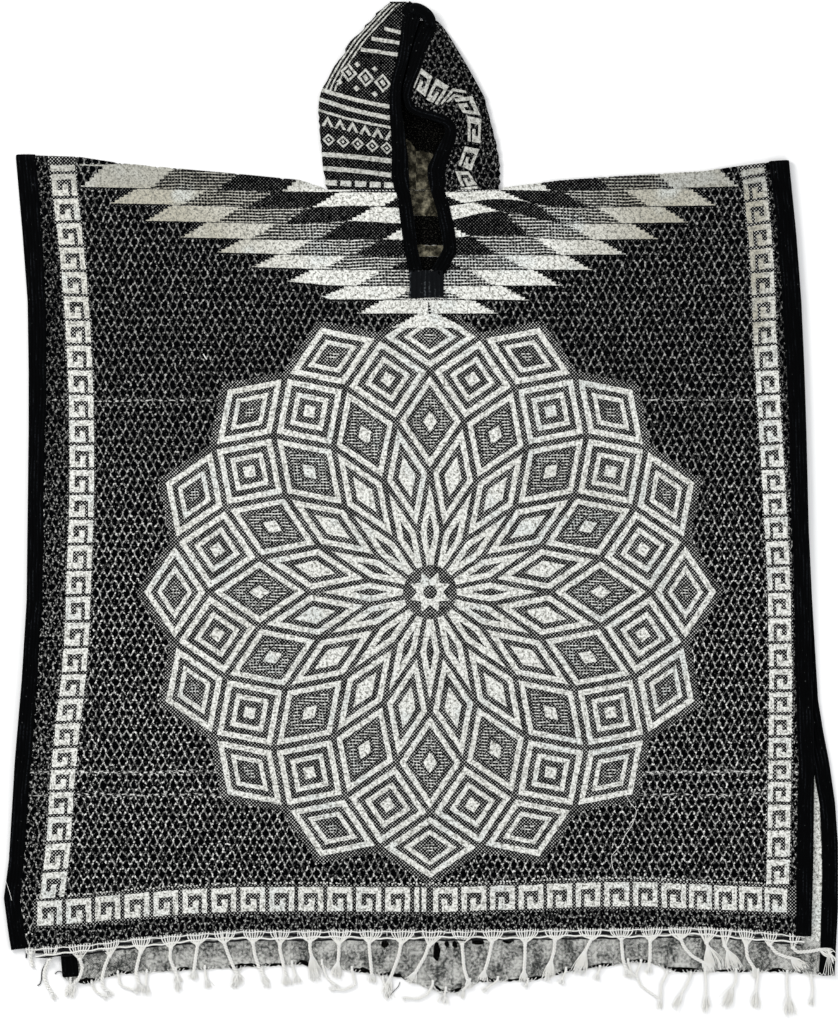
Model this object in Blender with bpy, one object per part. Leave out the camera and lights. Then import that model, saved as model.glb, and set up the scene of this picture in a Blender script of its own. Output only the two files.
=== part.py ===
"""Hooded poncho of handwoven cloth, laid flat, hood spread above the shoulders.

Metres, +Z up, the hood towards +Y. The outlines are charted on a square grid of CHART metres,
counted from the middle of the front (x to the right, y towards the hood). Heights are in metres
above the surface that the garment lies on.

Every piece is a wall with an outer and an inner face, made from the middle surface of its cloth
(a grid of rows and columns) moved out and in by half of its thickness. The tapes fold round the
edges, so their faces are the same grid moved further out.
"""

from collections import namedtuple
from math import cos, exp, pi, sin

import bpy
import numpy as np

# ---------------------------------------------------------------- sizes
CHART = 0.00137  # one square of the chart
CLOTH = 0.0020  # thickness of the body and hood cloth
TAPE = 0.0010  # thickness of the binding tape
GAP = 0.0003  # space between pieces that touch
SIDE_TAPE = 0.0250  # width of the side tape on each face
FACE_TAPE = 0.0165  # width of the tape round the face opening and slit
FRINGE = 0.0020  # thickness of the plain solid that stands for the fringe

HALF = CLOTH / 2
TAPE_IN = HALF + GAP  # from the middle of the cloth to the tape's inner face
TAPE_OUT = TAPE_IN + TAPE
BACK_LEVEL = HALF  # height of the back cloth's middle
FRONT_LEVEL = BACK_LEVEL + CLOTH + GAP  # height of the front cloth's middle
EDGE_RISE = GAP + TAPE  # how far a bound edge is lifted by the tape under it
STACK_LEVEL = BACK_LEVEL + EDGE_RISE + 2 * TAPE_OUT + GAP  # front's middle over the back's tape

NECK_Y = 402 * CHART  # seam between the hood and the body
NECK_LEFT, NECK_RIGHT = -105 * CHART, 72 * CHART  # ends of that seam
SLIT_END_Y = 321 * CHART  # point of the neck slit
TAB_END_Y = 294 * CHART

# ---------------------------------------------------------------- outlines, in squares of the chart
Side = namedtuple("Side", "y left right")
FRONT_SIDES = [
    Side(437, -414, 358), Side(357, -407, 366), Side(290, -402, 371), Side(223, -401, 374),
    Side(162, -401, 376), Side(-8, -403, 380), Side(-89, -408, 382), Side(-170, -415, 384),
    Side(-268, -421, 383), Side(-306, -426, 382), Side(-344, -421, 381), Side(-361, -418, 380),
]
BACK_SIDES = [
    Side(437, -414, 358), Side(290, -400, 369), Side(162, -398, 374), Side(-8, -398, 382),
    Side(-108, -396, 388), Side(-139, -394, 393), Side(-170, -391, 399), Side(-211, -386, 405),
    Side(-253, -381, 408), Side(-315, -373, 408), Side(-391, -367, 404),
]
Level = namedtuple("Level", "x y")
SHOULDER = [
    Level(-414, 437), Level(-350, 435), Level(-311, 429), Level(-258, 424), Level(-191, 418),
    Level(-130, 412), Level(-105, 404), Level(72, 404), Level(130, 412), Level(187, 416),
    Level(273, 421), Level(302, 425), Level(358, 432),
]
FRONT_HEM = [
    Level(-426, -358), Level(-401, -356), Level(-338, -351), Level(-296, -346), Level(-258, -343),
    Level(-220, -340), Level(-180, -338), Level(20, -338), Level(130, -337), Level(270, -335),
    Level(330, -339), Level(384, -344),
]
BACK_HEM = [
    Level(-373, -384), Level(-345, -391), Level(-310, -381), Level(-215, -376), Level(-130, -372),
    Level(-64, -380), Level(-30, -385), Level(11, -400), Level(25, -400), Level(50, -389),
    Level(100, -388), Level(140, -379), Level(200, -370), Level(220, -370), Level(245, -379),
    Level(300, -379), Level(355, -379), Level(404, -383),
]
FRONT_REACH = [
    Level(-426, -400), Level(-350, -407), Level(-280, -403), Level(-190, -396), Level(-60, -402),
    Level(30, -400), Level(140, -398), Level(250, -397), Level(330, -402), Level(384, -400),
]
BACK_REACH = [
    Level(-373, -408), Level(-340, -410), Level(-280, -408), Level(-190, -400), Level(-60, -408),
    Level(11, -412), Level(60, -405), Level(200, -404), Level(235, -418), Level(300, -420),
    Level(365, -428), Level(404, -431),
]
Slit = namedtuple("Slit", "y left right")
SLIT = [
    Slit(402, -22, 2), Slit(384, -19, 7.5), Slit(359, -16, 13), Slit(343, -14, 15),
    Slit(330, -11, 8), Slit(321, -9, 2),
]

# Hood rows. outer is the side fold, face the edge of the face opening, edge_height the height of
# that edge in millimetres, nose the radius of the side fold in millimetres.
HoodRow = namedtuple("HoodRow", "y outer face edge_height nose")
HOOD_LEFT = [
    HoodRow(402, -103, -22, 12, 3.0), HoodRow(415, -105.5, -22.5, 15, 3.2),
    HoodRow(424, -106.4, -23, 19, 3.4), HoodRow(439, -107.7, -24, 23, 3.6),
    HoodRow(451, -109, -26, 26, 3.8), HoodRow(459, -109.7, -27, 27, 4.0),
    HoodRow(466, -110.5, -28, 28, 4.0), HoodRow(480, -111, -30, 28, 4.0),
    HoodRow(494, -110, -31, 28, 4.0), HoodRow(505, -106.5, -30, 27, 4.0),
    HoodRow(525, -96, -25, 25, 3.8), HoodRow(550, -79, -18.5, 21, 3.4),
    HoodRow(564, -66.5, -14.5, 17, 3.0), HoodRow(572, -59, -11, 14, 2.6),
    HoodRow(580, -52, -10, 10, 2.2), HoodRow(586, -46, -15, 7, 1.8), HoodRow(590, -41, -24, 5.5, 1.3),
]
HOOD_RIGHT = [
    HoodRow(402, 70, 2, 12, 3.0), HoodRow(415, 70, -1, 13, 3.2), HoodRow(424, 69.8, -1, 13, 3.4),
    HoodRow(431, 69, 2.5, 13, 3.5), HoodRow(439, 67.5, 7, 13, 3.6), HoodRow(451, 65.2, 14, 14, 3.8),
    HoodRow(459, 63, 17, 15, 4.0), HoodRow(465, 61.2, 16.5, 16, 4.0), HoodRow(469, 60.5, 12, 17, 4.0),
    HoodRow(472, 60, 3, 19, 4.0), HoodRow(476, 58.2, -12, 21, 4.0), HoodRow(482, 57, -22, 22, 4.0),
    HoodRow(494, 54, -26, 24, 4.0), HoodRow(505, 48, -25, 24, 4.0), HoodRow(525, 38, -20, 22, 3.8),
    HoodRow(550, 22, -14.5, 17, 3.4), HoodRow(564, 13, -10, 12, 2.6), HoodRow(571, 7.5, -7, 8, 2.0),
]
BACK_SEAM = [Level(402, -14), Level(525, -14), Level(564, -11), Level(580, -22), Level(590, -31)]

# Long soft ridges of the front: middle, direction of the ridge in degrees, its half length and half
# width in squares, its height in millimetres.
Ridge = namedtuple("Ridge", "x y angle length width height")
RIDGES = [
    Ridge(-250, 380, -12, 120, 22, 3.0), Ridge(-60, 375, -20, 50, 18, 3.5),
    Ridge(75, 372, 24, 70, 20, 6.0), Ridge(190, 385, 10, 110, 20, 3.5),
    Ridge(0, -60, 90, 260, 12, 1.6), Ridge(28, -330, 88, 60, 14, 5.0),
    Ridge(-330, -240, 75, 120, 26, 3.0), Ridge(-150, -300, 80, 80, 22, 3.0),
    Ridge(190, -290, 96, 90, 24, 3.0), Ridge(310, -120, 86, 150, 22, 2.5),
    Ridge(-300, 90, 82, 160, 26, 2.0), Ridge(250, 150, 70, 130, 26, 2.0),
]

FRONT_ROWS = [
    -338, -312, -284, -254, -224, -194, -162, -130, -98, -66, -34, -2, 30, 62, 94, 126, 158, 190,
    220, 246, 270, 294, 321, 330, 343, 359, 384, 402,
]  # heights of the grid rows on the centre line
BACK_ROWS = [-388, -340, -240, -120, 0, 120, 240, 330, 380, 402]
SIDE_COLUMNS, NECK_COLUMNS = 8, 3  # columns from a side to the neck's end, and on to the slit
FOLD_STEPS = 4


# ---------------------------------------------------------------- measures
def read(table, key, value, at):
    """The value of one column of a table at a height or place, between its rows."""
    rows = sorted(table, key=lambda row: getattr(row, key))
    return float(np.interp(at, [getattr(r, key) for r in rows], [getattr(r, value) for r in rows]))


def smooth(a, b, value):
    t = min(max((value - a) / (b - a), 0.0), 1.0)
    return t * t * (3 - 2 * t)


def near_tape(x, y):
    """1 over the back's bound edge, fading to 0 beside it, and how far outside the back this is."""
    left = x - read(BACK_SIDES, "y", "left", y / CHART) * CHART
    right = read(BACK_SIDES, "y", "right", y / CHART) * CHART - x
    inside = min(left, right)
    beside = max(inside - SIDE_TAPE - 0.020, -inside - 0.015)
    return 1 - smooth(0.0, 0.050, beside), -inside


def front_height(x, y):
    """Height of the middle of the front cloth."""
    over, outside = near_tape(x, y)
    left = x - read(FRONT_SIDES, "y", "left", y / CHART) * CHART
    right = read(FRONT_SIDES, "y", "right", y / CHART) * CHART - x
    bound = 1 - smooth(SIDE_TAPE + 0.005, SIDE_TAPE + 0.035, min(left, right))
    height = FRONT_LEVEL + max(
        (STACK_LEVEL - FRONT_LEVEL) * over, (EDGE_RISE + GAP) * bound
    )
    height -= 0.0018 * smooth(0.03, 0.065, outside)
    inner = smooth(0.0, 0.06, min(left, right)) * (1 - smooth(388 * CHART, 402 * CHART, y))
    for ridge in RIDGES:
        a = ridge.angle * pi / 180
        dx, dy = x / CHART - ridge.x, y / CHART - ridge.y
        along, across = dx * cos(a) + dy * sin(a), dy * cos(a) - dx * sin(a)
        rise = exp(-((along / ridge.length) ** 2) - (across / ridge.width) ** 2)
        height += inner * ridge.height * 0.001 * rise
    neck = exp(-(((x / CHART + 12) / 62) ** 2) - ((y / CHART - 405) / 48) ** 2)
    slit = (1 - smooth(28, 55, abs(x / CHART + 3))) * smooth(280, 308, y / CHART)
    return height + 0.008 * neck + (EDGE_RISE + GAP) * slit


def back_height(x, y):
    left = x - read(BACK_SIDES, "y", "left", y / CHART) * CHART
    right = read(BACK_SIDES, "y", "right", y / CHART) * CHART - x
    return BACK_LEVEL + EDGE_RISE * (1 - smooth(SIDE_TAPE + 0.003, SIDE_TAPE + 0.02, min(left, right)))


# ---------------------------------------------------------------- making walls
def material(name, color, roughness):
    made = bpy.data.materials.new(name)
    made.use_nodes = True
    shader = made.node_tree.nodes["Principled BSDF"]
    shader.inputs["Base Color"].default_value = (*color, 1.0)
    shader.inputs["Roughness"].default_value = roughness
    shader.inputs["Metallic"].default_value = 0.0
    made.diffuse_color = (*color, 1.0)
    return made


def make(name, points, faces, color, roughness):
    mesh = bpy.data.meshes.new(name)
    mesh.from_pydata([tuple(p) for p in points], [], faces)
    mesh.update()
    mesh.shade_smooth()
    mesh.set_sharp_from_angle(angle=pi / 5)
    mesh.materials.append(material(name, color, roughness))
    obj = bpy.data.objects.new(name, mesh)
    bpy.context.scene.collection.objects.link(obj)
    return obj


class Grid:
    """The middle surface of a cloth: points by (column, row), which cells of it are there, and the
    direction out of the cloth at each point."""

    def __init__(self, points, cells):
        self.points = {key: np.array(p, float) for key, p in points.items()}
        self.cells = set(cells)
        self.out = {key: np.zeros(3) for key in self.points}
        for i, j in self.cells:
            a, b, c, d = (self.points[k] for k in self.corners(i, j))
            n = np.cross(c - a, d - b)
            n /= np.linalg.norm(n)
            for key in self.corners(i, j):
                self.out[key] = self.out[key] + n
        for key, n in self.out.items():
            size = np.linalg.norm(n)
            if size:
                self.out[key] = n / size

    @staticmethod
    def corners(i, j):
        return (i, j), (i + 1, j), (i + 1, j + 1), (i, j + 1)

    def square_rows(self, *rows):
        """At these rows the edge stands square to y, where another piece meets it."""
        for key, n in self.out.items():
            if key[1] in rows and (n[0] or n[2]):
                flat = np.array((n[0], 0.0, n[2]))
                self.out[key] = flat / np.linalg.norm(flat)

    def at(self, key, h):
        return self.points[key] + self.out[key] * h

    def wall(self, name, low, high, color, roughness, cells=None):
        """A closed wall over some cells, from low to high along the direction out."""
        cells = self.cells if cells is None else set(cells)
        index, points, faces = {}, [], []

        def vertex(key, h):
            if (key, h) not in index:
                index[key, h] = len(points)
                points.append(self.at(key, h))
            return index[key, h]

        for i, j in sorted(cells):
            ring = self.corners(i, j)
            a, b, c, d = (vertex(k, high) for k in ring)
            faces += [(a, b, c), (a, c, d)]
            a, b, c, d = (vertex(k, low) for k in ring)
            faces += [(a, c, b), (a, d, c)]
            for (p, q), beside in zip(
                ((ring[0], ring[1]), (ring[1], ring[2]), (ring[2], ring[3]), (ring[3], ring[0])),
                ((i, j - 1), (i + 1, j), (i, j + 1), (i - 1, j)),
            ):
                if beside not in cells:
                    faces += [
                        (vertex(p, high), vertex(p, low), vertex(q, low)),
                        (vertex(p, high), vertex(q, low), vertex(q, high)),
                    ]
        return make(name, points, faces, color, roughness)


def binding(name, stations, color, roughness, cloth_to_right):
    """Tape folded round a cloth's edge. A station is the edge point and the inner point, each as a
    function of the distance h from the middle of the cloth, and the tape's width there. The
    stations go up, and cloth_to_right says on which side of the edge the cloth lies."""
    profile = [
        ("end", TAPE_OUT), ("fold", TAPE_OUT), ("fold", -TAPE_OUT), ("end", -TAPE_OUT),
        ("end", -TAPE_IN), ("inside", -TAPE_IN), ("inside", TAPE_IN), ("end", TAPE_IN),
    ]
    points = []
    for edge, inner, width in stations:
        reach = {"end": width, "fold": -TAPE_OUT, "inside": -TAPE_IN}
        span = np.linalg.norm(inner(0.0) - edge(0.0))
        for place, h in profile:
            points.append(edge(h) + (inner(h) - edge(h)) * reach[place] / span)
    faces, n = [], len(profile)
    for start in range(0, len(points) - n, n):
        for k in range(n):
            a, b = start + k, start + (k + 1) % n
            c, d = b + n, a + n
            # Each long face uses the same diagonal as the cell of cloth that it lies on.
            if (k in (0, 4)) == cloth_to_right:
                faces += [(a, b, d), (b, c, d)]
            else:
                faces += [(a, b, c), (a, c, d)]
    last = len(points) - n
    for a, b, c, d in ((0, 1, 6, 7), (1, 2, 5, 6), (2, 3, 4, 5)):
        faces += [(d, c, b, a), (last + a, last + b, last + c, last + d)]
    if cloth_to_right:
        faces = [tuple(reversed(face)) for face in faces]
    return make(name, points, faces, color, roughness)


def station(grid, edge, inner, width, beyond=None, share=0.0):
    """A station of a tape at a row of a grid, or a share of the way on to the row beyond."""

    def point(column, row):
        def at(h):
            here = grid.at((column, row), h)
            return here if beyond is None else here + (grid.at((column, beyond), h) - here) * share

        return at

    return point(*edge), point(*inner), width * 0.985


def spread(a, b, count):
    return [a + (b - a) * k / count for k in range(1, count)]


# ---------------------------------------------------------------- colours
BLACK = (0.012, 0.012, 0.014)
CLOTH_GREY = (0.10, 0.10, 0.098)
REVERSE_GREY = (0.16, 0.16, 0.15)
YARN = (0.62, 0.60, 0.53)

for old in list(bpy.data.objects):
    bpy.data.objects.remove(old)


# ---------------------------------------------------------------- front
def side_columns(left, right, middle):
    """x of each column: bound side, rest of the left, the columns of the neck, rest of the right."""
    return (
        [left, left + SIDE_TAPE]
        + spread(left + SIDE_TAPE, NECK_LEFT, SIDE_COLUMNS)
        + [NECK_LEFT]
        + middle
        + [NECK_RIGHT]
        + spread(NECK_RIGHT, right - SIDE_TAPE, SIDE_COLUMNS)
        + [right - SIDE_TAPE, right]
    )


def front_columns(y):
    at = y / CHART
    left = read(FRONT_SIDES, "y", "left", at) * CHART + TAPE_OUT
    right = read(FRONT_SIDES, "y", "right", at) * CHART - TAPE_OUT
    slit_left = read(SLIT, "y", "left", max(at, 321)) * CHART
    slit_right = read(SLIT, "y", "right", max(at, 321)) * CHART
    tape_left, tape_right = slit_left - FACE_TAPE, slit_right + FACE_TAPE
    middle = (
        spread(NECK_LEFT, tape_left, NECK_COLUMNS)
        + [tape_left, slit_left, slit_right, tape_right]
        + spread(tape_right, NECK_RIGHT, NECK_COLUMNS)
    )
    return side_columns(left, right, middle)


def back_columns(y):
    at = y / CHART
    left = read(BACK_SIDES, "y", "left", at) * CHART + TAPE_OUT
    right = read(BACK_SIDES, "y", "right", at) * CHART - TAPE_OUT
    return side_columns(left, right, [(NECK_LEFT + NECK_RIGHT) / 2])


def fold_start(x, in_neck):
    """Where the flat cloth ends at the shoulder: there the fold turns, or the hood is sewn on."""
    if in_neck:
        return NECK_Y - GAP / 2
    y = read(SHOULDER, "x", "y", x / CHART) * CHART
    return y - (front_height(x, y) - back_height(x, y)) / 2 - HALF


def level_rows(rows, columns_at, hem, neck, gap):
    """Points of a flat panel by (column, row), its rows bent between its hem and its shoulder."""
    made = {}
    low_row, high_row = rows[0] * CHART, rows[-1] * CHART
    for j, middle in enumerate(rows):
        share = (middle * CHART - low_row) / (high_row - low_row)
        for i, x in enumerate(columns_at(middle * CHART)):
            low = read(hem, "x", "y", x / CHART) * CHART
            in_neck = neck[0] < i < neck[1]
            for _ in range(3):  # the column leans, so its foot and top are found again
                top = fold_start(x, in_neck) - (0.0 if in_neck else gap)
                y = low + (top - low) * share
                x = columns_at(y)[i]
            made[i, j] = (x, y)
    return made


columns = len(front_columns(0.0))
neck_i = SIDE_COLUMNS + 1  # column at the neck's left end
slit_i = neck_i + NECK_COLUMNS + 1  # column of the slit's left edge
neck_right_i = slit_i + 1 + NECK_COLUMNS + 1
rows = len(FRONT_ROWS)
slit_row, tab_row = FRONT_ROWS.index(321), FRONT_ROWS.index(294)

flat = level_rows(FRONT_ROWS, front_columns, FRONT_HEM, (neck_i, neck_right_i), 0.0)
points = {key: (x, y, front_height(x, y)) for key, (x, y) in flat.items()}
cells = {
    (i, j)
    for i in range(columns - 1)
    for j in range(rows - 1)
    if not (i == slit_i and j >= slit_row)
}
# The rounded shoulder fold, from the front down to the level of the back.
turns = {}
for i in range(columns):
    if neck_i < i < neck_right_i:
        continue
    x, y, high = points[i, rows - 1]
    low = back_height(x, y)
    radius = (high - low) / 2
    for step in range(FOLD_STEPS + 1):
        turn = turns[i, rows - 1 + step] = pi * step / FOLD_STEPS
        if step:
            points[i, rows - 1 + step] = (x, y + radius * sin(turn), low + radius * (1 + cos(turn)))
            if i < columns - 1 and not neck_i <= i < neck_right_i:
                cells.add((i, rows - 2 + step))
front = Grid(points, cells)
for key, turn in turns.items():
    front.out[key] = np.array((0.0, sin(turn), cos(turn)))
front.square_rows(0, rows - 1)
front.wall("front_panel", -HALF, HALF, CLOTH_GREY, 0.9)

every = range(rows + FOLD_STEPS)
left_side = [station(front, (0, j), (1, j), SIDE_TAPE) for j in every]
right_side = [station(front, (columns - 1, j), (columns - 2, j), SIDE_TAPE) for j in every]
binding("front_tape_left", left_side, BLACK, 0.7, True)
binding("front_tape_right", right_side, BLACK, 0.7, False)

# The tab lies on the front, from just below the slit's point.
tab_points, tab_cells = {}, set()
for i in range(slit_i - 1, slit_i + 3):
    for j in range(tab_row, slit_row + 1):
        tab_points[i, j] = front.points[i, j]
        if i < slit_i + 2 and j < slit_row:
            tab_cells.add((i, j))
    drop = front.points[i, slit_row] - front.points[i, slit_row - 1]
    tab_points[i, slit_row] = front.points[i, slit_row] - drop * 2 * GAP / np.linalg.norm(drop)
tab = Grid(tab_points, tab_cells)
tab.out = {key: front.out[key] for key in tab_points}
tab.wall("neck_tab", TAPE_IN, TAPE_OUT, BLACK, 0.7)

# ---------------------------------------------------------------- back
back_count = len(back_columns(0.0))
back_neck_right = neck_i + 2
flat = level_rows(BACK_ROWS, back_columns, BACK_HEM, (neck_i, back_neck_right), GAP)
back = Grid(
    {key: (x, y, back_height(x, y)) for key, (x, y) in flat.items()},
    {(i, j) for i in range(back_count - 1) for j in range(len(BACK_ROWS) - 1)},
)
back.square_rows(0, len(BACK_ROWS) - 1)
back.wall("back_panel", -HALF, HALF, REVERSE_GREY, 0.9)
every = range(len(BACK_ROWS))
left_side = [station(back, (0, j), (1, j), SIDE_TAPE) for j in every]
right_side = [station(back, (back_count - 1, j), (back_count - 2, j), SIDE_TAPE) for j in every]
binding("back_tape_left", left_side, BLACK, 0.7, True)
binding("back_tape_right", right_side, BLACK, 0.7, False)


# ---------------------------------------------------------------- fringes
def fringe(name, grid, count, reach, level):
    """A plain wall from just past the hem to the tips of the fringe."""
    made, present, depth = {}, set(), 3
    for i in range(count):
        x, y, z = grid.points[i, 0]
        tip = read(reach, "x", "y", x / CHART) * CHART
        start = y - 1.2 * GAP
        for j in range(depth):
            share = (depth - 1 - j) / (depth - 1)
            at = start + (tip - start) * share
            made[i, j] = (x, at, z + (level(x, at) - z) * share)
            if i < count - 1 and j < depth - 1:
                present.add((i, j))
    wall = Grid(made, present)
    wall.square_rows(0, depth - 1)
    wall.wall(name, -FRINGE / 2, FRINGE / 2, YARN, 0.85)


fringe(
    "front_fringe", front, columns, FRONT_REACH,
    lambda x, y: FRONT_LEVEL + GAP + 0.0042 * near_tape(x, y)[0],
)
fringe("back_fringe", back, back_count, BACK_REACH, lambda x, y: BACK_LEVEL)

# ---------------------------------------------------------------- hood
UPPER = (0.80, 0.62, 0.44, 0.27, 0.12, 0.0)  # from the tape to the top of the side fold
NOSE = (0.35, 0.7, 1.0)  # round the side fold, from its top to its bottom
LOWER = (0.5, 1.0)  # from the side fold to the seam of the crown and back


def hood_half(table, side):
    """One half as a grid: from the face edge over the upper side, round the side fold and back
    underneath to the seam. side is 1 on the right and -1 on the left, and column 0 is the face
    edge. Also the width of the face tape at each row."""
    made, present, widths = {}, set(), []
    table = sorted(table, key=lambda row: row.y)
    for j, row in enumerate(table):
        y = row.y * CHART + (GAP / 2 if j == 0 else 0.0)
        outer, face = row.outer * CHART, row.face * CHART
        seam = read(BACK_SEAM, "x", "y", row.y) * CHART + side * GAP
        width = min(FACE_TAPE, abs(face - outer) * 0.42)
        widths.append(width)
        base = 1 - smooth(402, 446, row.y)
        fold_top = BACK_LEVEL + 2 * row.nose * 0.001
        radius = (fold_top + (front_height(outer, NECK_Y) - fold_top) * base - BACK_LEVEL) / 2
        centre = outer - side * radius

        def high(x):
            share = min(max((x - centre) / (face - centre), 0.0), 1.0)
            dome = fold_top + (row.edge_height * 0.001 - fold_top) * sin(pi / 2 * share**0.9)
            return dome + (front_height(x, NECK_Y) - dome) * base

        tape = face + side * width
        upper = [face, tape] + [centre + (tape - centre) * share for share in UPPER[:-1]]
        section = [(x, high(x)) for x in upper] + [(centre, BACK_LEVEL + 2 * radius)]
        for place in NOSE:
            turn = pi / 2 - pi * place
            section.append((centre + side * radius * cos(turn), BACK_LEVEL + radius * (1 + sin(turn))))
        section += [(centre + (seam - centre) * share, BACK_LEVEL) for share in LOWER]
        for i, (x, z) in enumerate(section):
            made[side * i, j] = (x, y, z)
            if i < len(section) - 1 and j < len(table) - 1:
                present.add((i if side > 0 else -i - 1, j))
    half = Grid(made, present)
    half.square_rows(0)
    return half, widths


for name, table, side, slit_edge in (
    ("left", HOOD_LEFT, -1, slit_i),
    ("right", HOOD_RIGHT, 1, slit_i + 1),
):
    half, widths = hood_half(table, side)
    half.wall("hood_" + name, -HALF, HALF, CLOTH_GREY, 0.9)
    # The tape starts just above the slit's point, runs up the slit and on round the face edge.
    edge, inner = slit_edge, slit_edge + side
    stations = [station(front, (edge, slit_row), (inner, slit_row), FACE_TAPE, slit_row + 1, 0.03)]
    stations += [station(front, (edge, j), (inner, j), FACE_TAPE) for j in range(slit_row + 1, rows)]
    stations += [station(half, (0, j), (side, j), width) for j, width in enumerate(widths)]
    binding("face_tape_" + name, stations, BLACK, 0.7, side > 0)

# ---------------------------------------------------------------- origin under the middle
corners = np.array([v.co for o in bpy.data.objects for v in o.data.vertices])
shift = -(corners.min(axis=0) + corners.max(axis=0)) / 2
shift[2] = -corners[:, 2].min()
for obj in bpy.data.objects:
    for v in obj.data.vertices:
        v.co = (v.co.x + shift[0], v.co.y + shift[1], v.co.z + shift[2])
    obj.data.update()
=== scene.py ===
"""Looks of a handwoven hooded poncho laid flat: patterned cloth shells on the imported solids' forms,
ribbed binding tapes, knotted fringes and loose threads, on a plain pale floor.

Patterns and outlines are charted on squares of CHART metres: x to the right from the middle of the
front, y towards the hood. Heights are in metres above the floor.
"""

from collections import namedtuple
from math import cos, pi, radians, sin, sqrt

import bpy
import numpy as np
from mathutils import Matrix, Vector
from mathutils.geometry import delaunay_2d_cdt


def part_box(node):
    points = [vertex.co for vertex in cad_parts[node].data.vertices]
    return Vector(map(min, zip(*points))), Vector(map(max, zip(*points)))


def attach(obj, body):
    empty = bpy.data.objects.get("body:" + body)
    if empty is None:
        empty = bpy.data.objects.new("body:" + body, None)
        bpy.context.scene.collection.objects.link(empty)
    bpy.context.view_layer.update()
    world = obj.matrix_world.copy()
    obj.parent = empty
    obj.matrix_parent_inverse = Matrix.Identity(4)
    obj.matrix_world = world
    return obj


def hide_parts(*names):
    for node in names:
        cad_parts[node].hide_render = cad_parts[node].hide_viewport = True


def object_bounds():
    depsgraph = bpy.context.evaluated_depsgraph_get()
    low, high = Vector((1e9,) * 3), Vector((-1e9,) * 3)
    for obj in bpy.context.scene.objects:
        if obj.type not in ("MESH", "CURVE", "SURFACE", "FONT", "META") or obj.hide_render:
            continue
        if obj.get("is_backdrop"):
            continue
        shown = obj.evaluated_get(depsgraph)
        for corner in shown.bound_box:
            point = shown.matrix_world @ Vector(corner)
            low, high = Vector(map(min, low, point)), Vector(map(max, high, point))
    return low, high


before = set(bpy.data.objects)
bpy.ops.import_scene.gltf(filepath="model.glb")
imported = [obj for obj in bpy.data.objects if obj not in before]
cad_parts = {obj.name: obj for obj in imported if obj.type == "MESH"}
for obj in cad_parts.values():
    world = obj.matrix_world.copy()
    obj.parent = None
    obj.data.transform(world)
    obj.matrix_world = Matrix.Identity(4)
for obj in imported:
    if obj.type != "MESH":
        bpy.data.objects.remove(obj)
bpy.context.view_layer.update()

# ---------------------------------------------------------------- sizes, as in the solids
CHART = 0.00137
CLOTH, TAPE, GAP = 0.0020, 0.0010, 0.0003
SIDE_TAPE, FACE_TAPE = 0.0250, 0.0165
HALF = CLOTH / 2
TAPE_OUT = HALF + GAP + TAPE
BACK_LEVEL = HALF
FRONT_LEVEL = BACK_LEVEL + CLOTH + GAP
EDGE_RISE = GAP + TAPE
STACK_LEVEL = BACK_LEVEL + EDGE_RISE + 2 * TAPE_OUT + GAP
NECK = 402  # the hood's seam
NECK_LEFT, NECK_RIGHT = -105, 72

tab_low, tab_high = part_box("neck_tab")
SHIFT = Vector(
    (
        (tab_low.x + tab_high.x) / 2 + 3.5 * CHART,
        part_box("hood_left")[0].y - (NECK * CHART + GAP / 2),
        0.0,
    )
)
MIDDLE = Vector((-11 * CHART + SHIFT.x, 80 * CHART + SHIFT.y, 0.0))  # middle of the picture

Side = namedtuple("Side", "y left right")
FRONT_SIDES = [
    Side(437, -414, 358), Side(357, -407, 366), Side(290, -402, 371), Side(223, -401, 374),
    Side(162, -401, 376), Side(-8, -403, 380), Side(-89, -408, 382), Side(-170, -415, 384),
    Side(-268, -421, 383), Side(-306, -426, 382), Side(-344, -421, 381), Side(-361, -418, 380),
]
BACK_SIDES = [
    Side(437, -414, 358), Side(290, -400, 369), Side(162, -398, 374), Side(-8, -398, 382),
    Side(-108, -396, 388), Side(-139, -394, 393), Side(-170, -391, 399), Side(-211, -386, 405),
    Side(-253, -381, 408), Side(-315, -373, 408), Side(-391, -367, 404),
]
Level = namedtuple("Level", "x y")
SHOULDER = [
    Level(-414, 437), Level(-350, 435), Level(-311, 429), Level(-258, 424), Level(-191, 418),
    Level(-130, 412), Level(-105, 404), Level(72, 404), Level(130, 412), Level(187, 416),
    Level(273, 421), Level(302, 425), Level(358, 432),
]
FRONT_HEM = [
    Level(-426, -358), Level(-401, -356), Level(-338, -351), Level(-296, -346), Level(-258, -343),
    Level(-220, -340), Level(-180, -338), Level(20, -338), Level(130, -337), Level(270, -335),
    Level(330, -339), Level(384, -344),
]
BACK_HEM = [
    Level(-373, -384), Level(-345, -391), Level(-310, -381), Level(-215, -376), Level(-130, -372),
    Level(-64, -380), Level(-30, -385), Level(11, -400), Level(25, -400), Level(50, -389),
    Level(100, -388), Level(140, -379), Level(200, -370), Level(220, -370), Level(245, -379),
    Level(300, -379), Level(355, -379), Level(404, -383),
]
Slit = namedtuple("Slit", "y left right")
SLIT = [
    Slit(402, -22, 2), Slit(384, -19, 7.5), Slit(359, -16, 13), Slit(343, -14, 15),
    Slit(330, -11, 8), Slit(321, -9, 2),
]
HoodRow = namedtuple("HoodRow", "y outer face edge_height nose")
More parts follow.
